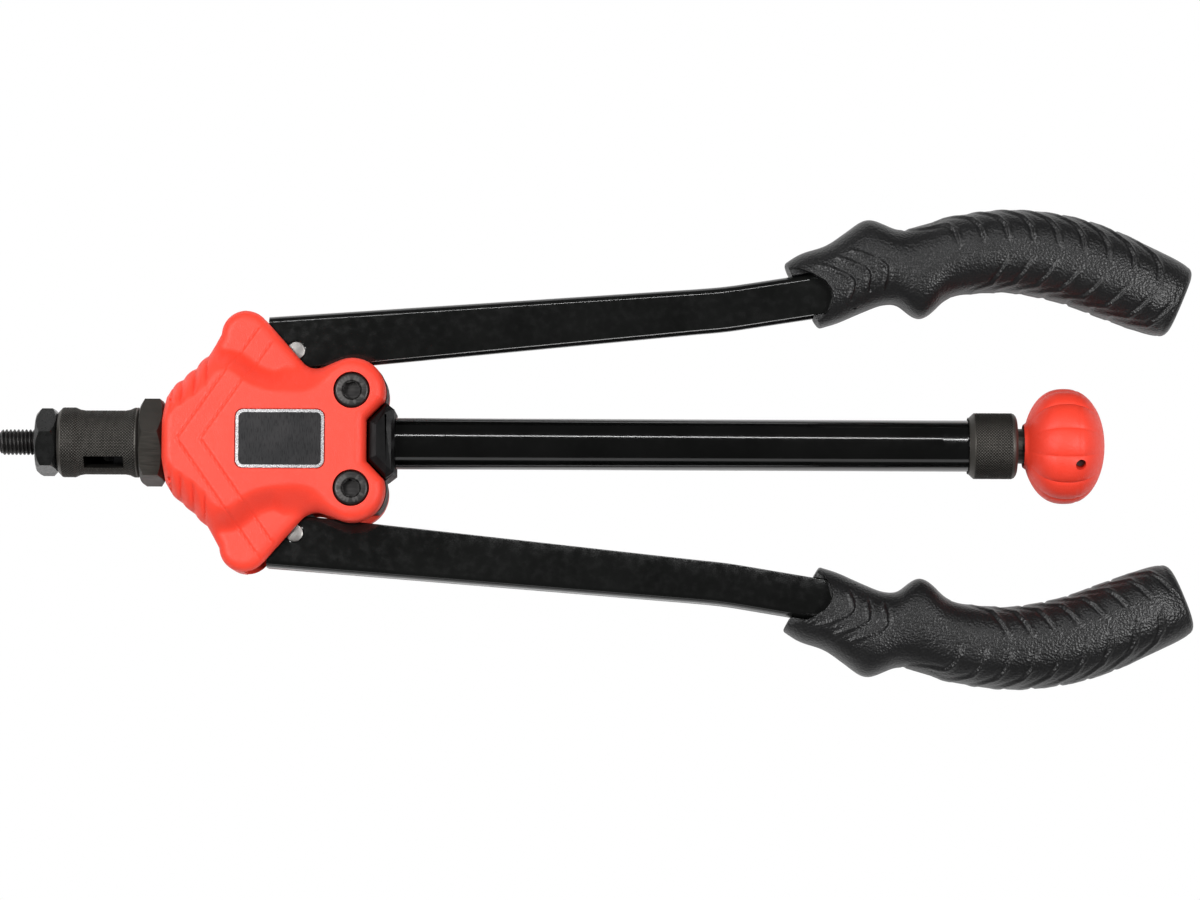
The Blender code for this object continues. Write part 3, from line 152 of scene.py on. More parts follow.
def red_plastic():
    """Moulded red plastic with a fine grain."""
    material, tree, shader = new_material("red_moulded_plastic")
    vector = coordinates(tree)
    blotch = noise(tree, vector, 60.0, 4.0)
    grain = cells(tree, vector, 2600.0)
    fine = noise(tree, vector, 4200.0, 2.0)
    tone = ramp(tree, blotch, [(0.30, (0.82, 0.044, 0.020)), (0.70, (0.89, 0.056, 0.028))])
    speck = ramp(tree, grain, [(0.05, (0.96, 0.110, 0.070)), (0.32, (0.80, 0.043, 0.021))])
    color = mix(tree, spread(tree, fine, 0.10, 0.55), tone, speck)
    surface(tree, shader, color, spread(tree, noise(tree, vector, 900.0), 0.42, 0.56), 0.42)
    bump(tree, shader, grain, 0.48, 0.00014)
    bump(tree, shader, fine, 0.20, 0.00007)
    return material


def gloss_black(name, rough_low, rough_high, tint, grain_scale, strength, coat=0.0, shine=0.5):
    """Black paint with a slight unevenness, dust tone and a sheen that varies."""
    material, tree, shader = new_material(name)
    vector = coordinates(tree)
    blotch = noise(tree, vector, 45.0, 5.0)
    grain = noise(tree, vector, grain_scale)
    light = tuple(part * 1.45 + 0.0008 for part in tint)
    tone = ramp(tree, blotch, [(0.35, tint), (0.68, light)])
    surface(tree, shader, tone, spread(tree, noise(tree, vector, 320.0), rough_low, rough_high), shine)
    shader.inputs["Coat Weight"].default_value = coat
    shader.inputs["Coat Roughness"].default_value = rough_low
    bump(tree, shader, grain, strength, 0.00008)
    return material


def oxide_steel(name, dark, light, rough_low, rough_high, wear_tone, wear_and_shade_by=None):
    """Black oxide finish: brownish film, fine scratches, paler on worn edges.

    The named point attribute, the depth below a knurl's crests, takes the place of the edges: the crests
    get the worn tone, and the deepest valleys get a painted shade, near black.
    """
    material, tree, shader = new_material(name)
    vector = coordinates(tree)
    streak = noise(tree, coordinates(tree, (0.06, 1.0, 1.0)), 2200.0)
    blotch = noise(tree, vector, 150.0, 4.0)
    film = ramp(tree, blotch, [(0.32, dark), (0.70, light)])
    scratched = mix(tree, spread(tree, streak, 0.0, 0.45, 0.48, 0.72), film, wear_tone)
    if wear_and_shade_by:
        depth = tree.nodes.new("ShaderNodeAttribute")
        depth.attribute_name = wear_and_shade_by
        relief = depth.outputs["Fac"]
        worn_and_shaded = mix(tree, spread(tree, relief, 1.0, 0.0, 0.05, 0.45), scratched, wear_tone)
        # painted shade: the knurl's deepest valleys are darkened towards near black (0.004)
        worn_and_shaded = mix(tree, spread(tree, relief, 0.0, 0.75, 0.45, 0.95), worn_and_shaded, (0.004, 0.004, 0.004))
    else:
        edges = tree.nodes.new("ShaderNodeNewGeometry").outputs["Pointiness"]
        worn_and_shaded = mix(tree, spread(tree, edges, 0.0, 1.0, 0.52, 0.60), scratched, wear_tone)
    surface(tree, shader, worn_and_shaded, spread(tree, streak, rough_low, rough_high), metallic=0.75)
    bump(tree, shader, streak, 0.10, 0.00005)
    return material


def bright_steel(name, dark, light, rough_low, rough_high, way=(1.0, 1.0, 0.06)):
    """Plated or machined steel with fine tool marks."""
    material, tree, shader = new_material(name)
    marks = noise(tree, coordinates(tree, way), 2600.0)
    cloud = noise(tree, coordinates(tree), 240.0)
    tone = ramp(tree, cloud, [(0.30, dark), (0.72, light)])
    surface(tree, shader, tone, spread(tree, marks, rough_low, rough_high), metallic=1.0)
    bump(tree, shader, marks, 0.10, 0.00004)
    return material


def black_rubber():
    """Black rubber with a leather grain, paler in its cells."""
    material, tree, shader = new_material("black_grained_rubber")
    vector = coordinates(tree)
    leather = cells(tree, vector, 1150.0, 0.25)
    fine = noise(tree, vector, 5200.0, 2.0)
    blotch = noise(tree, vector, 70.0, 4.0)
    tone = ramp(tree, blotch, [(0.32, (0.0042, 0.0042, 0.0044)), (0.70, (0.0075, 0.0075, 0.0078))])
    pale = mix(tree, spread(tree, leather, 0.0, 0.35, 0.10, 0.60), tone, (0.012, 0.012, 0.0125))
    surface(tree, shader, pale, spread(tree, fine, 0.30, 0.44), 0.38)
    bump(tree, shader, leather, 0.75, 0.00024)
    bump(tree, shader, fine, 0.25, 0.00006)
    return material


def badge_black():
    """Satin black of the badge plate's field."""
    material, tree, shader = new_material("badge_black_field")
    fine = noise(tree, coordinates(tree, (1.0, 0.12, 1.0)), 3000.0, 2.0)
    blotch = noise(tree, coordinates(tree), 120.0)
    tone = ramp(tree, blotch, [(0.35, (0.013, 0.013, 0.014)), (0.70, (0.024, 0.023, 0.024))])
    surface(tree, shader, tone, spread(tree, fine, 0.24, 0.36), 0.30)
    bump(tree, shader, fine, 0.08, 0.00003)
    return material


RED = red_plastic()
ARM_BLACK = gloss_black("arm_gloss_black", 0.10, 0.20, (0.0036, 0.0038, 0.0036), 700.0, 0.10, 0.4)
TUBE_BLACK = gloss_black("tube_gloss_black", 0.08, 0.14, (0.0022, 0.0023, 0.0022), 900.0, 0.06, 0.4)
BLOCK_BLACK = gloss_black("block_satin_black", 0.32, 0.44, (0.0040, 0.0040, 0.0042), 1500.0, 0.30,
                          shine=0.10)
ANVIL_BLACK = gloss_black("anvil_gloss_black", 0.20, 0.32, (0.0060, 0.0062, 0.0060), 1400.0, 0.14, 0.1, 0.4)
OXIDE = oxide_steel("dark_oxide_steel", (0.021, 0.019, 0.016), (0.036, 0.032, 0.027), 0.40, 0.58,
                    (0.075, 0.070, 0.062))
# knurled finish: worn tone on the crests, painted shade in the deepest valleys
KNURL_OXIDE = oxide_steel("knurled_oxide_steel", (0.018, 0.0165, 0.014), (0.030, 0.027, 0.023), 0.40, 0.56,
                          (0.085, 0.080, 0.072), "relief")
BOLT_BLACK = oxide_steel("bolt_black_oxide", (0.022, 0.021, 0.021), (0.036, 0.034, 0.033), 0.34, 0.50,
                         (0.075, 0.072, 0.070))
FORGED = oxide_steel("forged_dark_steel", (0.060, 0.058, 0.056), (0.11, 0.105, 0.10), 0.42, 0.60,
                     (0.20, 0.20, 0.19))
ZINC = bright_steel("bright_zinc_plate", (0.46, 0.46, 0.45), (0.66, 0.66, 0.64), 0.26, 0.40)
PIN_STEEL = bright_steel("pin_steel", (0.24, 0.23, 0.22), (0.36, 0.35, 0.34), 0.36, 0.52)
STEEL = bright_steel("machined_steel", (0.30, 0.30, 0.31), (0.46, 0.46, 0.47), 0.28, 0.44, (0.06, 1.0, 1.0))
RIM_SILVER = bright_steel("badge_silver_rim", (0.62, 0.62, 0.63), (0.80, 0.80, 0.81), 0.22, 0.34)
BRONZE = bright_steel("sintered_bronze", (0.40, 0.24, 0.09), (0.56, 0.36, 0.15), 0.32, 0.46)
RUBBER = black_rubber()
BADGE_FIELD = badge_black()


# Mesh helpers

def keep(item, material, body, replaces=(), smooth=35.0):
    """Gives a new piece its finish, its shading and its body."""
    if material:
        item.data.materials.append(material)
    item.data.shade_smooth()
    item.data.set_sharp_from_angle(angle=math.radians(smooth))
    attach(item, body)
    if replaces:
        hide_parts(*replaces)
    return item


def add(name, data):
    """Puts an object with this data into the scene."""
    item = bpy.data.objects.new(name, data)
    bpy.context.scene.collection.objects.link(item)
    return item


def from_bmesh(name, shape):
    bmesh.ops.recalc_face_normals(shape, faces=shape.faces)
    mesh = bpy.data.meshes.new(name)
    shape.to_mesh(mesh)
    shape.free()
    return add(name, mesh)


def strip(shape, row, after):
    """Faces between two closed rows of vertices."""
    for step in range(len(row)):
        beside = (step + 1) % len(row)
        shape.faces.new((row[step], row[beside], after[beside], after[step]))


def from_rings(name, rings, closed=False):
    """Joins rings of equal length to a capped tube, or to a ring of its own where it is closed."""
    shape = bmesh.new()
    rows = [[shape.verts.new(tuple(point)) for point in ring] for ring in rings]
    for row, after in zip(rows, rows[1:] + rows[:1] if closed else rows[1:]):
        strip(shape, row, after)
    if not closed:
        shape.faces.new(rows[0])
        shape.faces.new(rows[-1])
    return from_bmesh(name, shape)


def cut(item, tool):
    """Takes the tool's volume out of an item and removes the tool."""
    step = item.modifiers.new("cut", "BOOLEAN")
    step.operation = "DIFFERENCE"
    step.object = tool
    step.solver = "EXACT"
    bpy.context.view_layer.update()
    graph = bpy.context.evaluated_depsgraph_get()
    mesh = bpy.data.meshes.new_from_object(item.evaluated_get(graph))
    item.modifiers.clear()
    item.data = mesh
    bpy.data.objects.remove(tool, do_unlink=True)


def prism(name, points, low, high):
    return from_rings(name, [[(x, y, z) for x, y in points] for z in (low, high)])


def box(name, low, high):
    corners = [(low[0], low[1]), (high[0], low[1]), (high[0], high[1]), (low[0], high[1])]
    return prism(name, corners, low[2], high[2])


def turned_ring(x, radii, angles):
    return np.stack([np.full(len(angles), x), radii * np.cos(angles), radii * np.sin(angles)], axis=1)


def lathe(name, profile, sides=96, place=None, wave=None, closed=False):
    """A piece turned about +X from (x, radius) points. place moves it, and wave changes its radius."""
    angles = np.linspace(0.0, 2 * math.pi, sides, endpoint=False)
    rings = []
    for x, radius in profile:
        radii = np.full(sides, max(radius, 0.00002))
        if wave:
            radii = radii + wave(x, angles, radius)
        rings.append(turned_ring(x, radii, angles))
    item = from_rings(name, rings, closed)
    item.data.transform(place or ON_AXIS)
    return item


def upright_place(x, y):
    """Places a turned piece with its +X pointing up at a point of the tool's own plan."""
    return Matrix.Translation((x + SHIFT_X, y + AXIS_Y, 0.0)) @ Matrix.Rotation(-math.pi / 2, 4, "Y")


def arc(center_x, center_y, radius, start, end, steps):
    """Points on an arc, its ends given in degrees."""
    angles = np.radians(np.linspace(start, end, steps + 1))
    return [(center_x + radius * math.cos(a), center_y + radius * math.sin(a)) for a in angles]


def ring_points(x, y, radius, sides, turn=0.0):
    """Points on a circle round a point of the tool's own plan, in the frame."""
    return [(x + SHIFT_X + radius * math.cos(turn + a), y + AXIS_Y + radius * math.sin(turn + a))
            for a in np.linspace(0.0, 2 * math.pi, sides, endpoint=False)]


def resample(points, spacing, closed=True):
    """Points at an even spacing along a polyline."""
    line = np.vstack([points, points[:1]]) if closed else np.array(points)
    lengths = np.hypot(*np.diff(line, axis=0).T)
    total = np.concatenate([[0.0], np.cumsum(lengths)])
    count = max(3, int(round(total[-1] / spacing)))
    marks = np.linspace(0.0, total[-1], count, endpoint=not closed)
    return np.stack([np.interp(marks, total, line[:, 0]), np.interp(marks, total, line[:, 1])], axis=1)


def rounded(points):
    """Rounds the corners of a closed polygon by cutting them again and again."""
    line = np.array(points)
    for _ in range(3):
        after = np.roll(line, -1, axis=0)
        line = np.stack([0.75 * line + 0.25 * after, 0.25 * line + 0.75 * after], axis=1).reshape(-1, 2)
    return line


def distance_to(points, line):
    """Distance of each point from a closed polyline, and whether it is inside."""
    best = np.full(len(points), 1e9)
    inside = np.zeros(len(points), dtype=bool)
    for a, b in zip(line, np.roll(line, -1, axis=0)):
        way = b - a
        share = np.clip(((points - a) @ way) / max(way @ way, 1e-18), 0.0, 1.0)
        best = np.minimum(best, np.hypot(*(points - a - share[:, None] * way).T))
        crosses = (a[1] > points[:, 1]) != (b[1] > points[:, 1])
        at = a[0] + (points[:, 1] - a[1]) * way[0] / (way[1] if way[1] else 1e-18)
        inside ^= crosses & (points[:, 0] < at)
    return best, inside


def smooth_step(value):
    """0 below 0, 1 above 1 and a soft rise between them."""
    value = np.clip(value, 0.0, 1.0)
    return value * value * (3.0 - 2.0 * value)


# Cover, laid out in the tool's own plan: x from its middle, y from its axis

SCREW_X = -0.0929
SCREW_Y = 0.0184
BADGE_X = -0.1197
SCREW_SEAT = 0.0375
NUT_SEAT = 0.0390
WINDOW_TOP = 0.03205
PLATE_ROOM_TOP = 0.03385
COVER_TOP = 0.0440
COVER_SPLIT = 0.02215
COVER_SKIRT = 0.0262
GRID = 0.00048
LOBE_TOP = 0.0350
LOBE_LEAST = 0.03415
HUMP_WIDTH = 0.0125
HUMP_STEEP_WIDTH = 0.0100
EDGE_ROUND = 0.0042
FLANK_POINTS = ((-0.1632, 0.0161), (-0.1613, 0.0195), (-0.1572, 0.02305), (-0.1523, 0.0273),
                (-0.1475, 0.0322))
FLANK_BULGE = 0.0006
FLANK_STEPS = 8
RIB_MARKS = tuple(x for x, _ in FLANK_POINTS[1:])
RIB_HEIGHT = 0.0018
V_ANGLE = math.radians(55.2)
V_APEX = (-0.1595, -0.1506)
V_STEP = 0.00045
V_GROOVE = 0.00065
V_GROOVE_WIDTH = 0.00060
HUMP_HALF = [(-0.1622, 0.0), (-0.1622, 0.0070), (-0.1590, 0.0102), (-0.1520, 0.0148), (-0.1462, 0.0198),
             (-0.1425, 0.0252), (-0.1388, 0.0252), (-0.1337, 0.0206), (-0.1262, 0.0174), (-0.1140, 0.0160),
             (-0.1075, 0.0170), (-0.1029, 0.0200), (-0.0985, 0.0250), (-0.0930, 0.0320), (-0.0840, 0.0300),
             (-0.0740, 0.0200), (-0.0740, 0.0)]


def mirror_over_axis(half):
    return half + [(x, -y) for x, y in reversed(half) if y > 1e-9]


def cover_outline():
    """Plan of the cover: scalloped flanks, a lobe for each arm and one for each screw."""
    half = [(-0.1645, 0.0072), FLANK_POINTS[0]]
    for (ax, ay), (bx, by) in zip(FLANK_POINTS[1:], FLANK_POINTS[2:]):
        length = math.hypot(bx - ax, by - ay)
        for step in range(FLANK_STEPS):
            share = step / FLANK_STEPS
            out = FLANK_BULGE * 4 * share * (1 - share) / length
            half.append((ax + (bx - ax) * share - (by - ay) * out,
                         ay + (by - ay) * share + (bx - ax) * out))
    half.append(FLANK_POINTS[-1])
    half += arc(-0.1336, 0.0402, 0.0094, 178, 40, 24)
    half += arc(-0.1063, 0.0350, 0.0077, 220, 289, 14)
    half += arc(SCREW_X, SCREW_Y, 0.0125, 109, -16, 26)
    half += [(-0.0876, 0.0079)]
    return mirror_over_axis(half)


def inset_line(line, distance):
    """Moves a closed line of many points inwards; the line runs clockwise."""
    before = line - np.roll(line, 1, axis=0)
    after = np.roll(line, -1, axis=0) - line
    before /= np.hypot(*before.T)[:, None]
    after /= np.hypot(*after.T)[:, None]
    way = before + after
    way /= np.hypot(*way.T)[:, None]
    normal = np.stack([way[:, 1], -way[:, 0]], axis=1)
    stretch = np.clip((normal * np.stack([before[:, 1], -before[:, 0]], axis=1)).sum(axis=1), 0.55, 1.0)
    return line + normal * (distance / stretch)[:, None]


def rib_wave(x):
    """0 in the hollows between the ribs of the flank, 1 on their crowns and beyond them."""
    wave = np.ones_like(x)
    for low, high in zip(RIB_MARKS, RIB_MARKS[1:]):
        share = (x - low) / (high - low)
        inside = (share > 0) & (share < 1)
        wave = np.where(inside, np.maximum(4 * share * (1 - share), 0.0) ** 0.6, wave)
    return wave


def cover_height(points, edge):
    """Height of the cover's outer face over its plan; edge is each point's distance from the outline."""
    hump = resample(rounded(mirror_over_axis(HUMP_HALF)), 0.0008)
    away, inside = distance_to(points, hump)
    away = np.where(inside, 0.0, away)
    steep = smooth_step((points[:, 0] + 0.1460) / 0.005) * smooth_step((-0.1180 - points[:, 0]) / 0.005)
    share = smooth_step(1.0 - away / (HUMP_WIDTH - (HUMP_WIDTH - HUMP_STEEP_WIDTH) * steep))
    height = LOBE_TOP + (COVER_TOP - 2 * V_STEP - LOBE_TOP) * share
    x, y = points[:, 0], np.abs(points[:, 1])
    for apex in V_APEX:
        across = (x - apex) * math.sin(V_ANGLE) - y * math.cos(V_ANGLE)
        height = height + V_STEP * smooth_step(across / 0.0005 + 0.5)
        height = height - V_GROOVE * np.exp(-((across - 0.0007) / V_GROOVE_WIDTH) ** 2)
    flank = smooth_step((away - 0.0006) / 0.0030) * smooth_step((-0.1462 - x) / 0.0020)
    height = height - RIB_HEIGHT * (1.0 - rib_wave(x)) * flank
    height = np.maximum(height, np.where(edge > 0.0038, LOBE_LEAST, LOBE_LEAST - 0.0006))
    return height - EDGE_ROUND + np.sqrt(EDGE_ROUND ** 2 - np.maximum(EDGE_ROUND - edge, 0.0) ** 2)


def cover_solid(name):
    """The cover's outer form: rings along its outline and a grid inside them, raised to their height."""
    outline = resample(cover_outline(), 0.0006)
    depths = [EDGE_ROUND * (1 - math.cos(math.radians(a))) for a in range(0, 85, 12)]
    rings = [inset_line(outline, depth) for depth in depths]
    inner = rings[-1]
    low, high = inner.min(axis=0), inner.max(axis=0)
    grid_x, grid_y = np.meshgrid(np.arange(low[0], high[0], GRID), np.arange(low[1], high[1], GRID))
    grid_x[1::2] += GRID / 2
    grid = np.stack([grid_x.ravel(), grid_y.ravel()], axis=1)
    away, inside = distance_to(grid, inner)
    grid = grid[inside & (away > 0.00035)]
    points = [Vector((float(x), float(y))) for x, y in np.concatenate([inner, grid])]
    count = len(inner)
    loop = [[step, (step + 1) % count] for step in range(count)]
    found, _, triangles, _, _, _ = delaunay_2d_cdt(points, loop, [], 1, 1e-7)
    found = np.array([tuple(p) for p in found])
    edge, _ = distance_to(found, outline)
    shape = bmesh.new()

    def row_at(places, heights):
        return [shape.verts.new((x + SHIFT_X, y + AXIS_Y, z)) for (x, y), z in zip(places, heights)]
    verts = row_at(found, cover_height(found, np.maximum(edge, depths[-1])))
    for triangle in triangles:
        shape.faces.new([verts[index] for index in triangle])
    upper = verts[:count]
    rows = [(ring, cover_height(ring, np.full(count, depth)))
            for ring, depth in zip(rings[-2::-1], depths[-2::-1])]
    rows += [(rings[0], [COVER_SKIRT] * count), (rings[0], [COVER_SPLIT + 0.0004] * count),
             (inset_line(outline, 0.0004), [COVER_SPLIT] * count)]
    for places, heights in rows:
        row = row_at(places, heights)
        strip(shape, upper, row)
        upper = row
    shape.faces.new(upper)
    return from_bmesh(name, shape)


def cylinder(name, x, y, radius, low, high, sides=72):
    return prism(name, ring_points(x, y, radius, sides), low, high)


def badge_outline(length, width, corner):
    points = []
    for x, y, start in ((1, 1, 0), (-1, 1, 90), (-1, -1, 180), (1, -1, 270)):
        points += arc(BADGE_X + x * (length / 2 - corner), y * (width / 2 - corner), corner,
                      start, start + 90, 8)
    return [(x + SHIFT_X, y + AXIS_Y) for x, y in points]


def pocket_line(wall, rear, reach):
    """The cover's outline moved in by a wall, cut off at the rear and no wider than a reach."""
    inner = inset_line(resample(cover_outline(), 0.0012), wall)
    return [(x + SHIFT_X, max(-reach, min(reach, y)) + AXIS_Y) for x, y in inner if x < rear]


def shaped_cover(name, top):
    """A cover with its pocket, the windows for the arms, the snout's hole and its seats."""
    item = cover_solid(name)
    cut(item, prism("pocket", pocket_line(0.0030, -0.1016, 0.08), 0.01, WINDOW_TOP))
    cut(item, prism("plate_room", pocket_line(0.0042, -0.1018, 0.0274), 0.01, PLATE_ROOM_TOP))
    cut(item, box("window", (-0.1335 + SHIFT_X, -0.08, 0.0), (-0.04, 0.08, WINDOW_TOP)))
    cut(item, lathe("snout", [(-0.18, 0.0100), (-0.14, 0.0100)]))
    radius, floor, sides = (0.0069, SCREW_SEAT, 72) if top else (0.0079, NUT_SEAT, 6)
    for y in (SCREW_Y, -SCREW_Y):
        cut(item, cylinder("seat", SCREW_X, y, radius, floor, 0.05, sides))
        cut(item, cylinder("shank", SCREW_X, y, 0.0043, 0.0, 0.05, 48))
    if top:
        cut(item, prism("badge_seat", badge_outline(0.0340, 0.0228, 0.0033), COVER_TOP - 0.0012, 0.05))
    return item


def build_covers():
    """The top cover, and the bottom one as its mirror image with seats for the nuts and no badge."""
    top = shaped_cover("cover_top_moulding", True)
    keep(top, RED, "frame", ("top_cover",), 38.0)
    bottom = shaped_cover("cover_bottom_moulding", False)
    middle = Matrix.Translation((0, 0, AXIS_Z))
    bottom.data.transform(middle @ Matrix.Scale(-1.0, 4, (0, 0, 1)) @ middle.inverted())
    bottom.data.flip_normals()
    keep(bottom, RED, "frame", ("bottom_cover",), 38.0)


def build_badge():
    """Bare plate: a black field in a raised silver rim."""
    low, high = BADGE_LOW[2], BADGE_HIGH[2]
    field = high - 0.00024
    lines = [(0.0334, 0.0222, 0.0030, low), (0.0334, 0.0222, 0.0030, high - 0.00016),
             (0.0331, 0.0219, 0.0029, high), (0.0310, 0.0198, 0.0020, high),
             (0.0307, 0.0195, 0.0019, field), (0.0306, 0.0194, 0.0019, field)]
    item = from_rings("badge_bare_plate", [[(x, y, z) for x, y in badge_outline(length, width, corner)]
                                           for length, width, corner, z in lines])
    item.data.materials.append(RIM_SILVER)
    item.data.materials.append(BADGE_FIELD)
    for face in item.data.polygons:
        inside = all(abs(item.data.vertices[v].co.z - field) < 1e-6 for v in face.vertices)
        face.material_index = 1 if inside else 0
    keep(item, None, "frame", ("badge_plate",), 25.0)


def build_cap_screws():
    """Socket cap screws, each with its hexagon turned as in the photo."""
    seat = SCREW_SEAT + 0.0003
    top = seat + 0.0060
    profile = [(0.0006, 0.00001), (0.0006, 0.0034), (0.0010, 0.0040), (seat, 0.0040), (seat, 0.0064),
               (seat + 0.0002, 0.0065), (top - 0.0010, 0.0065), (top - 0.0006, 0.00640),
               (top - 0.00025, 0.00612), (top - 0.00005, 0.0057), (top, 0.0053), (top, 0.00001)]
    socket = 0.0060 / 2 / math.cos(math.pi / 6)
    for word, y, turn in (("upper", SCREW_Y, 12.0), ("lower", -SCREW_Y, 40.0)):
        place = upright_place(SCREW_X, y)
        item = lathe(word + "_cap_screw_skin", profile, 72, place)
        funnel = [(top - 0.0007, socket - 0.0003), (top + 0.0003, socket + 0.0007)]
        cut(item, lathe("funnel", funnel, 48, place))
        hexagon = ring_points(SCREW_X, y, socket, 6, math.radians(turn))
        cut(item, prism("socket", hexagon, top - 0.0040, top + 0.001))
        keep(item, BOLT_BLACK, "frame", (word + "_cap_screw",), 30.0)


def fine_profile(corners):
    """A profile with all but its upright parts cut into short steps."""
    line = []
    for start, end in zip(corners, corners[1:]):
        length, rise = end[0] - start[0], end[1] - start[1]
        count = 1 if abs(length) < 1e-6 else max(2, int(abs(length) / 0.00024) + 1)
        line += [(start[0] + length * i / count, start[1] + rise * i / count) for i in range(count)]
    return line + [corners[-1]]


def mark_relief(item, profile):
    """Notes at each point how deep it lies in the knurl, for the worn crests and the painted shade in the
    valleys.
    """
    xs, radii = np.array(profile).T
    level = []
    for vert in item.data.vertices:
        radius = math.hypot(vert.co.y - AXIS_Y, vert.co.z - AXIS_Z)
        depth = np.interp(vert.co.x - SHIFT_X, xs, radii) - radius
        level.append(min(1.0, max(0.0, depth / KNURL_DEPTH)))
    relief = item.data.attributes.new("relief", "FLOAT", "POINT")
    relief.data.foreach_set("value", level)


KNURL_PITCH = 0.00112
KNURL_DEPTH = 0.00030
KNURL_TEETH = 68
KNURL_LEAST_RADIUS = 0.0115
KNURL_SIDES = 476
KNURL_FADE = 0.0004
NOSE_REAR = -0.1740
NOSE_LENGTH = 0.0309


def knurl_between(low, high):
    """Diamond knurl: the raised crossings of two sets of slanted grooves, fading out at low and high."""
    def wave(x, angles, radius):
        if radius < KNURL_LEAST_RADIUS:
            return np.zeros_like(angles)
        teeth = angles * KNURL_TEETH / (2 * math.pi)
        first, second = teeth + x / KNURL_PITCH, teeth - x / KNURL_PITCH
        cross = np.minimum(np.abs(2 * (first % 1.0) - 1), np.abs(2 * (second % 1.0) - 1))
        fade = min(1.0, max(0.0, (x - low) / KNURL_FADE)) * min(1.0, max(0.0, (high - x) / KNURL_FADE))
        return -KNURL_DEPTH * (1.0 - np.minimum(1.0, 1.6 * cross)) * fade
    return wave


def build_nose_sleeve():
    """Knurled sleeve with a waist and a window slot."""
    end, waist, bore = 0.0133, 0.0122, 0.0078
    rear, front = NOSE_REAR, NOSE_REAR - NOSE_LENGTH
    outer = fine_profile([(front + 0.0003, end - 0.0013), (front + 0.0013, end - 0.0002),
                          (front + 0.0018, end), (front + 0.0062, end), (front + 0.0080, waist + 0.0003),
                          (front + 0.0098, waist), (rear - 0.0058, waist), (rear - 0.0040, waist + 0.0003),
                          (rear - 0.0022, end), (rear - 0.0008, end), (rear, end - 0.0007)])
    inner = [(rear, 0.0100), (front + 0.0093, 0.0100), (front + 0.0093, bore), (front, bore),
             (front, end - 0.0016)]
    wave = knurl_between(front + 0.0014, rear - 0.0010)
    item = lathe("nose_sleeve_knurled", outer + inner, KNURL_SIDES, wave=wave, closed=True)
    window = box("window", (front + 0.0102, -0.0028, 0.0), (front + 0.0252, 0.0028, 0.0260))
    window.data.transform(ON_AXIS @ Matrix.Rotation(math.radians(44.0), 4, "X"))
    cut(item, window)
    mark_relief(item, outer)
    keep(item, KNURL_OXIDE, "nose_sleeve", ("nose_sleeve",), 50.0)


def build_stroke_collar():
    """Knurled collar with a bore that grips the tube and a lip behind it."""
    front, rear, outer = 0.1400, 0.1583, 0.01255
    ring = fine_profile([(front, outer - 0.0021), (front + 0.0019, outer - 0.0003), (front + 0.0023, outer),
                         (rear - 0.0018, outer), (rear - 0.0009, outer - 0.0004),
                         (rear - 0.0003, outer - 0.0011), (rear, outer - 0.0018)])
    inner = [(rear, 0.0069), (rear - 0.0025, 0.0069), (rear - 0.0025, 0.01005), (front + 0.0010, 0.01005),
             (front, 0.0108)]
    wave = knurl_between(front + 0.0021, rear - 0.0018)
    item = lathe("stroke_collar_knurled", ring + inner, KNURL_SIDES, wave=wave, closed=True)
    mark_relief(item, ring)
    keep(item, KNURL_OXIDE, "stroke_collar", ("stroke_collar",), 50.0)


THREAD_PITCH = 0.0015
THREAD_RADIUS = 0.0049
THREAD_TIP = 0.0013


def build_mandrel():
    """A threaded rod: rings whose radius follows a helix, its tip turned down."""
    start, end = -0.2276, -0.1793
    angles = np.linspace(0.0, 2 * math.pi, 64, endpoint=False)
    rings = []
    for x in np.linspace(start, end, int((end - start) / (THREAD_PITCH / 10))):
        turn = (x / THREAD_PITCH - angles / (2 * math.pi)) % 1.0
        tooth = np.clip(np.abs(2 * turn - 1) * 1.45 - 0.15, 0.0, 1.0)
        limit = THREAD_RADIUS - max(0.0, THREAD_TIP - (x - start))
        rings.append(turned_ring(x, np.minimum(THREAD_RADIUS - 0.00085 * (1.0 - tooth), limit), angles))
    item = from_rings("mandrel_threaded", rings)
    item.data.transform(ON_AXIS)
    keep(item, BOLT_BLACK, "spindle", ("mandrel",), 60.0)


KNOB_FRONT = 0.1610
KNOB_LENGTH = 0.0308
KNOB_RADIUS = 0.0219
KNOB_SEAM = 0.1808
KNOB_HOLE = 0.1809


def build_knob():
    """A flattened ball with shallow flutes, a front recess, a parting line and a cross hole."""
    front = KNOB_FRONT
    profile = [(front + 0.0030, 0.00002), (front + 0.0030, 0.0078), (front + 0.0003, 0.0078),
               (front, 0.0082)]
    for step in range(73):
        share = 0.5 - 0.5 * math.cos(math.pi * step / 72)
        radius = KNOB_RADIUS * max(0.0, 1 - abs(2 * share - 1) ** 2.35) ** 0.5
        if share > 0.5 or radius > 0.0084:
            profile.append((front + KNOB_LENGTH * share, radius))

    def wave(x, angles, radius):
        if radius < 0.0083 or x < front + 0.0002:
            return np.zeros_like(angles)
        strength = min(1.0, (radius - 0.0078) / (KNOB_RADIUS - 0.0078))
        flute = np.abs(np.cos(angles * 6)) ** 0.6
        line = 0.00026 * math.exp(-((x - KNOB_SEAM) / 0.00035) ** 2)
        return -0.0009 * strength * (1 - flute) - line
    item = lathe("knob_fluted", profile, 240, wave=wave)
    turn = Matrix.Rotation(math.radians(24.0), 4, "X") @ Matrix.Rotation(-math.pi / 2, 4, "Y")
    place = ON_AXIS @ Matrix.Translation((KNOB_HOLE, 0.0, 0.0)) @ turn
    cut(item, lathe("hole", [(0.008, 0.0020), (0.03, 0.0020)], 40, place))
    cut(item, lathe("bore", [(front - 0.01, 0.0069), (0.1863, 0.0069)], 64))
    keep(item, RED, "spindle", ("knob",), 40.0)


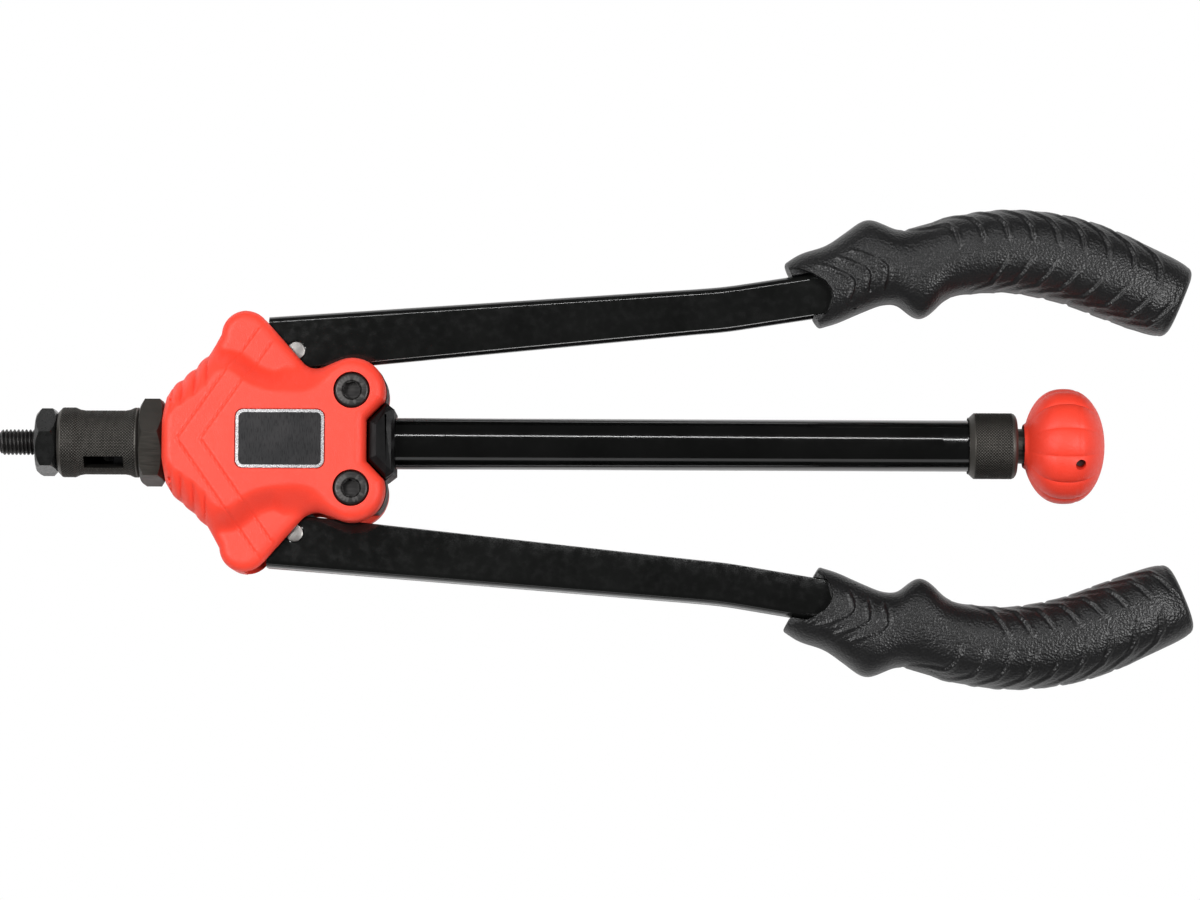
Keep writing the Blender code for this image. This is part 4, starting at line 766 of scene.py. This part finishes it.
def build_link_pins():
    """Link pins with broken edges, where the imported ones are."""
    for word in ("upper", "lower"):
        low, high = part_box(word + "_link_pin")
        x, y = (low[0] + high[0]) / 2 - SHIFT_X, (low[1] + high[1]) / 2 - AXIS_Y
        radius = (high[0] - low[0]) / 2
        edge = ((0.0, 0.0005), (0.0002, 0.00012), (0.0005, 0.0))
        profile = [(low[2] + z, radius - less) for z, less in edge]
        profile += [(high[2] - z, radius - less) for z, less in edge[::-1]]
        profile = [(low[2], 0.00001)] + profile + [(high[2], 0.00001)]
        item = lathe(word + "_link_pin_skin", profile, 56, upright_place(x, y))
        keep(item, PIN_STEEL, word + "_arm", (word + "_link_pin",), 35.0)


def dress_frame_nodes():
    """Finishes for the solids that stay as they are."""
    finishes = {
        BLOCK_BLACK: ("frame",),
        ANVIL_BLACK: ("anvil",),
        OXIDE: ("lock_nut", "spindle"),
        BOLT_BLACK: ("knob_screw",),
        FORGED: ("upper_lever", "lower_lever"),
        ZINC: ("upper_screw_nut", "lower_screw_nut", "mandrel_adaptor"),
        STEEL: ("upper_link", "lower_link", "pull_sleeve", "upper_sleeve_pin", "lower_sleeve_pin",
                "upper_fulcrum_pin", "lower_fulcrum_pin"),
        BRONZE: ("rear_bush", "thrust_washer"),
    }
    for finish, names in finishes.items():
        for name in names:
            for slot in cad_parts[name].material_slots:
                slot.material = finish


# Grips

GRIP_STATIONS = (
    (0.0711, 0.0697, 0.0847, 0.0450, 0.0125), (0.0764, 0.0731, 0.0901, 0.0466, 0.0135),
    (0.0855, 0.0758, 0.0954, 0.0489, 0.0140), (0.0935, 0.0812, 0.1015, 0.0515, 0.0142),
    (0.1022, 0.0865, 0.1083, 0.0539, 0.0142), (0.1083, 0.0843, 0.1132, 0.0539, 0.0142),
    (0.1144, 0.0820, 0.1174, 0.0505, 0.0143), (0.1205, 0.0837, 0.1216, 0.0482, 0.0145),
    (0.1258, 0.0851, 0.1262, 0.0505, 0.0148), (0.1311, 0.0870, 0.1311, 0.0555, 0.0151),
    (0.1372, 0.0882, 0.1364, 0.0576, 0.0155), (0.1467, 0.0896, 0.1455, 0.0586, 0.0160),
    (0.1562, 0.0902, 0.1543, 0.0590, 0.0163), (0.1695, 0.0893, 0.1653, 0.0575, 0.0165),
    (0.1828, 0.0869, 0.1767, 0.0547, 0.0165), (0.1961, 0.0824, 0.1881, 0.0504, 0.0163),
    (0.2075, 0.0771, 0.1980, 0.0468, 0.0158), (0.2177, 0.0722, 0.2071, 0.0436, 0.0148),
    (0.2238, 0.0692, 0.2124, 0.0420, 0.0135),
)
GRIP_RINGS = 300
GRIP_SIDES = 160
OUTER_RIB = ((0.0, 0.13), (-0.0019, 0.53), (-0.0057, 0.78), (-0.0122, 0.94), (-0.0165, 1.0),
             (-0.0200, 1.02))
INNER_RIB = ((0.0, -0.22), (-0.0008, -0.37), (-0.0027, -0.60), (-0.0061, -0.85), (-0.0137, -0.97),
             (-0.0200, -1.02))
GRIP_MEAN_HALF = 0.0157
GROOVE_SHIFT = np.array([0.0013, 0.0])
RIB_ROWS = ((0.1369, 0.00932, 9, OUTER_RIB), (0.1554, 0.0091, 8, INNER_RIB))
MOUTH_RIDGES = (
    ((818, 261), (832, 265), (846, 271), (853, 275), (856, 280), (855, 288), (850, 299)),
    ((836, 253), (848, 257), (860, 262), (868, 266), (872, 271), (871, 279), (869, 290)),
    ((851, 246), (864, 250), (876, 255), (885, 259), (890, 265), (889, 276), (885, 288)),
)
LOWER_ARM_TURN = math.radians(0.46)
FULCRUM = (-0.1172, 0.0234)


def smooth_curve(values, marks, at):
    """Cubic through values at marks. Its slope at each is a weighted mean of the rises beside it."""
    steps = np.diff(marks)
    rise = np.diff(values) / steps
    inner = (rise[:-1] * steps[1:] + rise[1:] * steps[:-1]) / (steps[1:] + steps[:-1])
    slope = np.concatenate([rise[:1], inner, rise[-1:]])
    index = np.clip(np.searchsorted(marks, at) - 1, 0, len(steps) - 1)
    share = (at - marks[index]) / steps[index]
    a, b = values[index], values[index + 1]
    m, n = slope[index] * steps[index], slope[index + 1] * steps[index]
    return ((2 * share ** 3 - 3 * share ** 2 + 1) * a + (share ** 3 - 2 * share ** 2 + share) * m
            + (-2 * share ** 3 + 3 * share ** 2) * b + (share ** 3 - share ** 2) * n)


def line_distance(points, line):
    """Distance of each point from an open polyline, and the nearest place along it, from 0 to 1."""
    line = np.asarray(line)
    lengths = np.hypot(*np.diff(line, axis=0).T)
    before = np.concatenate([[0.0], np.cumsum(lengths)])
    best = np.full(len(points), 1e9)
    along = np.zeros(len(points))
    for a, b, start, length in zip(line, line[1:], before, lengths):
        way = b - a
        share = np.clip(((points - a) @ way) / (way @ way), 0.0, 1.0)
        away = np.hypot(*(points - a - share[:, None] * way).T)
        nearer = away < best
        best = np.where(nearer, away, best)
        along = np.where(nearer, (start + share * length) / before[-1], along)
    return best, along


PHOTO_SCALE = 0.00038
PHOTO_DISTANCE = 0.765
PHOTO_SLANT = 0.00426


def from_photo(px, py, height):
    """Plan place, in the tool's own frame, of a picture point that lies a height above the middle plane."""
    shrink = 1.0 - height / PHOTO_DISTANCE
    x = 600.0 + (px - 600.0) * shrink
    y = 585.0 + (py - 585.0) * shrink
    return (x - 599.0) * PHOTO_SCALE, (442.0 + PHOTO_SLANT * (x - 8.0) - y) * PHOTO_SCALE


def body_scale(index):
    """Draws the last rings of the grip in, so that its end is rounded."""
    share = max(0.0, 1.0 - (GRIP_RINGS - 1 - index) / 14.0)
    return 1.0 - 0.045 * (1.0 - math.sqrt(1.0 - 0.98 * share * share)) / (1.0 - math.sqrt(0.02))


def softened(line):
    """Rounds a fine line by a running mean with soft weights."""
    weights = np.exp(-(np.arange(-12, 13) / 4.0) ** 2 / 2)
    padded = np.concatenate([2 * line[0] - line[12:0:-1], line, 2 * line[-1] - line[-2:-14:-1]])
    columns = [np.convolve(padded[:, axis], weights / weights.sum(), "valid") for axis in (0, 1)]
    return np.stack(columns, axis=1)


def grip_surface():
    """The upper grip's rings in the tool's own frame, and what its relief is laid out by."""
    stations = np.array(GRIP_STATIONS)
    middle = (stations[:, 0:2] + stations[:, 2:4]) / 2
    marks = np.concatenate([[0.0], np.cumsum(np.hypot(*np.diff(middle, axis=0).T))])
    at = np.linspace(0.0, marks[-1], GRIP_RINGS)
    curves = [smooth_curve(column, marks, at) for column in stations.T]
    outer, inner = softened(np.stack(curves[0:2], axis=1)), softened(np.stack(curves[2:4], axis=1))
    angles = np.linspace(0.0, 2 * math.pi, GRIP_SIDES, endpoint=False)
    cos, sin = np.cos(angles), np.sin(angles)
    wide = np.sign(cos) * np.abs(cos) ** 0.80
    high = np.sign(sin) * np.abs(sin) ** 0.80
    recipe = []
    for step in range(4, 0, -1):
        turn = math.pi / 2 * step / 4
        recipe.append((0, -0.0011 * math.sin(turn), 1.0 - 0.07 * (1 - math.cos(turn))))
    recipe += [(index, 0.0, body_scale(index)) for index in range(GRIP_RINGS)]
    for step in range(1, 9):
        turn = math.pi / 2 * step / 8
        recipe.append((GRIP_RINGS - 1, 0.0029 * math.sin(turn), 0.955 - 0.24 * (1 - math.cos(turn))))
    rows, lengths = [], []
    for index, shift, scale in recipe:
        center = (outer[index] + inner[index]) / 2
        across = (outer[index] - inner[index]) / 2
        forward = np.array([across[1], -across[0]]) / math.hypot(*across)
        plan = center + np.outer(wide * scale, across) + forward * shift
        rows.append(np.column_stack([plan, high * scale * curves[4][index]]))
        lengths.append(at[index] + shift)
    half = np.hypot(*((outer - inner) / 2).T)
    return np.array(rows), np.array(lengths), wide, half, middle[:, 0], marks


def ridge(away, width, height):
    return height * np.exp(-(away / width) ** 2)


def grip_relief(rows, lengths, wide, half, middle_x, marks):
    """How far each point of the grip stands out: slanted ribs, ridges at the mouth and the parting line."""
    count, sides = rows.shape[:2]
    index = np.clip(np.searchsorted(np.linspace(0, marks[-1], GRIP_RINGS), lengths), 0, GRIP_RINGS - 1)
    along = np.repeat(lengths[:, None], sides, axis=1)
    across = wide[None, :] * half[index][:, None]
    points = np.stack([along.ravel(), across.ravel()], axis=1)
    relief = np.zeros(len(points))
    for first, pitch, number, shape in RIB_ROWS:
        for step in range(number):
            start = np.interp(first + pitch * step, middle_x, marks)
            line = np.array([(start + shift, share * GRIP_MEAN_HALF) for shift, share in shape])
            away, place = line_distance(points, line)
            fade = 0.35 + 0.65 * smooth_step(place / 0.15)
            relief += ridge(away, 0.00062, 0.00060) * fade
            away, _ = line_distance(points, line - GROOVE_SHIFT)
            relief -= ridge(away, 0.00070, 0.00055) * fade
    plan = rows[:, :, 0:2].reshape(-1, 2)
    for line in MOUTH_RIDGES:
        path = resample([from_photo(px, py, 0.0135) for px, py in line], 0.0012, False)
        away, place = line_distance(plan, path)
        fade = smooth_step(place / 0.06) * smooth_step((1.0 - place) / 0.06)
        relief += ridge(away, 0.00070, 0.00080) * fade
        away, _ = line_distance(plan, path + GROOVE_SHIFT)
        relief -= ridge(away, 0.00075, 0.00045) * fade
    relief = relief.reshape(count, sides)
    for column in (0, sides // 2):
        relief[:, column] -= 0.00022
    return relief


def grip_mouth():
    """Plan of the notch that the mouth cuts in the grip's top and bottom walls."""
    picture = ((770, 262), (800, 265), (815, 271), (828, 279), (834, 287), (836, 295), (833, 306),
               (827, 314), (800, 330), (760, 320))
    return [from_photo(px, py, 0.0125) for px, py in picture]


def arm_center(x):
    """Distance of the arm's middle from the axis: a straight line with a soft bend before the grip."""
    slope = math.tan(math.radians(4.86))
    line = 0.0409 + slope * (x + 0.0809)
    extra = math.tan(math.radians(8.9)) - slope
    over = x - 0.0420
    if over <= 0.0:
        return line
    if over < 0.0120:
        return line + extra * over * over / 0.0240
    return line + extra * (over - 0.0060)


def build_grips():
    """Ribbed grips, with the socket for the arm and the notch at its mouth."""
    rows, *layout = grip_surface()
    relief = grip_relief(rows, *layout)
    around = np.roll(rows, -1, axis=1) - np.roll(rows, 1, axis=1)
    normal = np.cross(around, np.gradient(rows, axis=0))
    normal /= np.maximum(np.linalg.norm(normal, axis=2, keepdims=True), 1e-12)
    center = rows.mean(axis=1, keepdims=True)
    facing = np.sign(((rows - center) * normal).sum(axis=2, keepdims=True))
    fade = np.ones(len(rows))
    fade[:4] = np.linspace(0.0, 1.0, 4)
    fade[-9:] = np.linspace(1.0, 0.0, 9)
    shaped = rows + normal * facing * relief[:, :, None] * fade[:, None, None]
    half = 0.0165 / 2 + 0.0003
    xs = np.linspace(0.0600, 0.0973, 12)
    for word, side in (("upper", 1), ("lower", -1)):
        item = from_rings(word + "_grip_ribbed", shaped * np.array([1.0, side, 1.0]))
        far = [(x, side * (arm_center(x) + 0.0083)) for x in xs]
        near = [(x, side * (arm_center(x) - 0.0083)) for x in xs]
        cut(item, prism("socket", far + near[::-1], -half, half))
        notch = [(x, side * y) for x, y in grip_mouth()]
        cut(item, prism("notch", notch, half - 0.0005, 0.03))
        cut(item, prism("notch_below", notch, -0.03, -half + 0.0005))
        keep(arm_turned(item, side), RUBBER, word + "_arm", (word + "_grip",), 60.0)


# Arms and tube

ARM_FRONT_X = -0.1252
ARM_END_X = 0.0970
ARM_FRONT_WIDTH = 0.0208
ARM_REAR_WIDTH = 0.0160
ARM_HALF = 0.00825
ARM_WALL = 0.0025
LINK_PIN = (-0.1148, 0.0346)


def channel_section(half_width):
    """Outline of the channel, across from the arm's middle and in height. It opens towards the axis."""
    top, low, lips, lip = ARM_HALF, ARM_HALF - ARM_WALL, -half_width, 0.00035
    outside = [(lips, top - lip), (lips + lip * 0.3, top - lip * 0.3), (lips + lip, top)]
    outside += arc(half_width - 0.0030, top - 0.0030, 0.0030, 90, 0, 10)
    inside = [(lips, low + lip), (lips + lip * 0.3, low + lip * 0.3), (lips + lip, low)]
    inside += arc(half_width - ARM_WALL - 0.0010, low - 0.0010, 0.0010, 90, 0, 4)
    return outside + [(x, -z) for x, z in outside[::-1] + inside] + inside[::-1]


def arm_turned(item, side):
    """Opens the lower arm by its play, about its fulcrum, and moves an arm's piece into the frame."""
    if side < 0:
        pivot = Matrix.Translation((FULCRUM[0], -FULCRUM[1], 0.0))
        item.data.transform(pivot @ Matrix.Rotation(-LOWER_ARM_TURN, 4, "Z") @ pivot.inverted())
    item.data.transform(ON_AXIS)
    return item


def build_arms():
    """Channels that taper to the rear, each with the hole for its link pin."""
    xs = np.concatenate([np.linspace(ARM_FRONT_X, 0.0410, 34), np.linspace(0.0420, 0.0550, 14),
                         np.linspace(0.0570, ARM_END_X, 10)])
    for word, side in (("upper", 1), ("lower", -1)):
        rings = []
        for x in xs:
            share = min(1.0, (x - ARM_FRONT_X) / (0.0380 - ARM_FRONT_X))
            section = channel_section((ARM_FRONT_WIDTH + (ARM_REAR_WIDTH - ARM_FRONT_WIDTH) * share) / 2)
            rings.append([(x, side * (arm_center(x) + across), z) for across, z in section])
        item = from_rings(word + "_arm_channel_skin", rings)
        place = Matrix.Translation((LINK_PIN[0], side * LINK_PIN[1], 0.0))
        place = place @ Matrix.Rotation(-math.pi / 2, 4, "Y")
        cut(item, lathe("hole", [(-0.02, 0.0037), (0.02, 0.0037)], 48, place))
        keep(arm_turned(item, side), ARM_BLACK, word + "_arm", (word + "_arm_channel",))


def build_tube():
    """Centre tube with its spanner flat, a turned groove behind it and broken edges."""
    outer, bore, end = 0.00975, 0.0075, 0.1462
    profile = [(-0.0960, bore), (-0.0960, outer), (0.1398, outer), (0.1401, outer - 0.0004),
               (0.1406, outer - 0.0004), (0.1409, outer), (end - 0.0006, outer), (end, outer - 0.0006),
               (end, bore + 0.0004), (end - 0.0004, bore)]
    item = lathe("centre_tube_skin", profile, 160, closed=True)
    flat = box("flat", (0.1300, -outer, outer - 0.0007), (0.1395, outer, 2 * outer))
    flat.data.transform(ON_AXIS @ Matrix.Rotation(math.radians(-12.0), 4, "X"))
    cut(item, flat)
    keep(item, TUBE_BLACK, "frame", ("centre_tube",), 30.0)


# Studio

def build_floor():
    """Pale floor that the camera sees as plain white."""
    shape = bmesh.new()
    corners = ((-3.0, -3.0, 0.0), (3.0, -3.0, 0.0), (3.0, 3.0, 0.0), (-3.0, 3.0, 0.0))
    shape.faces.new([shape.verts.new(point) for point in corners])
    floor = from_bmesh("studio_floor", shape)
    material, tree, shader = new_material("studio_floor_white")
    shader.inputs["Roughness"].default_value = 0.9
    tone = ramp(tree, noise(tree, coordinates(tree), 3.0), [(0.3, 0.78), (0.7, 0.82)])
    tree.links.new(tone, shader.inputs["Base Color"])
    path = tree.nodes.new("ShaderNodeLightPath")
    white = tree.nodes.new("ShaderNodeEmission")
    blend = tree.nodes.new("ShaderNodeMixShader")
    output = tree.nodes["Material Output"]
    tree.links.new(path.outputs["Is Camera Ray"], blend.inputs["Fac"])
    tree.links.new(shader.outputs["BSDF"], blend.inputs[1])
    tree.links.new(white.outputs["Emission"], blend.inputs[2])
    tree.links.new(blend.outputs["Shader"], output.inputs["Surface"])
    floor.data.materials.append(material)


def area_light(name, place, target, width, depth, power, roll=0.0):
    """A lamp that faces a target, in watts, turned about its own axis by roll degrees."""
    data = bpy.data.lights.new(name, "AREA")
    data.shape = "RECTANGLE"
    data.size = width
    data.size_y = depth
    data.energy = power
    lamp = add(name, data)
    lamp.location = place
    way = (Vector(target) - Vector(place)).to_track_quat("-Z", "Y")
    lamp.rotation_euler = (way @ Quaternion((0.0, 0.0, 1.0), math.radians(roll))).to_euler()


def build_lights():
    """Soft boxes at both ends, a thin strip along one side and nothing overhead, so black stays deep."""
    area_light("key_softbox", (-0.72, 0.10, 1.10), (-0.05, 0.0, 0.02), 0.50, 0.60, 13.5)
    area_light("right_softbox", (0.78, -0.05, 1.10), (0.05, 0.0, 0.02), 0.40, 0.50, 11.0)
    area_light("rear_strip", (-0.05, 0.66, 1.05), (0.0, 0.0, 0.02), 1.60, 0.035, 4.5, -22.0)
    area_light("low_fill", (0.0, -1.20, 0.35), (0.0, 0.0, 0.02), 1.50, 0.30, 1.2)
    world = bpy.data.worlds.new("studio_world")
    bpy.context.scene.world = world
    world.use_nodes = True
    ground = world.node_tree.nodes["Background"]
    ground.inputs["Color"].default_value = (1.0, 1.0, 1.0, 1.0)
    ground.inputs["Strength"].default_value = 0.05


CAMERA_DISTANCE = 1.60
CAMERA_TILT = math.radians(4.7)
CAMERA_ROLL = math.radians(0.24)
CAMERA_TARGET = (0.00152, -0.00098, 0.022)
FOCAL_PIXELS = 4212.0


def build_camera():
    """The photo's camera: over the tool, slightly tilted towards the lower arm."""
    data = bpy.data.cameras.new("photo_camera")
    data.sensor_width = 36.0
    data.lens = 36.0 * FOCAL_PIXELS / 1200.0
    data.clip_end = 20.0
    camera = add("photo_camera", data)
    back = Vector((0.0, -math.sin(CAMERA_TILT), math.cos(CAMERA_TILT)))
    right = Vector((math.cos(CAMERA_ROLL), math.sin(CAMERA_ROLL), 0.0))
    up = back.cross(right).normalized()
    right = up.cross(back).normalized()
    place = Matrix((right, up, back)).transposed().to_4x4()
    place.translation = Vector(CAMERA_TARGET) + back * CAMERA_DISTANCE
    camera.matrix_world = place
    bpy.context.scene.camera = camera


def main():
    """Dresses the tool and sets up the studio."""
    build_covers()
    build_badge()
    build_cap_screws()
    build_nose_sleeve()
    build_stroke_collar()
    build_mandrel()
    build_knob()
    build_link_pins()
    build_arms()
    build_tube()
    build_grips()
    dress_frame_nodes()
    build_floor()
    build_lights()
    build_camera()
    bpy.context.scene.view_settings.view_transform = "Standard"


main()
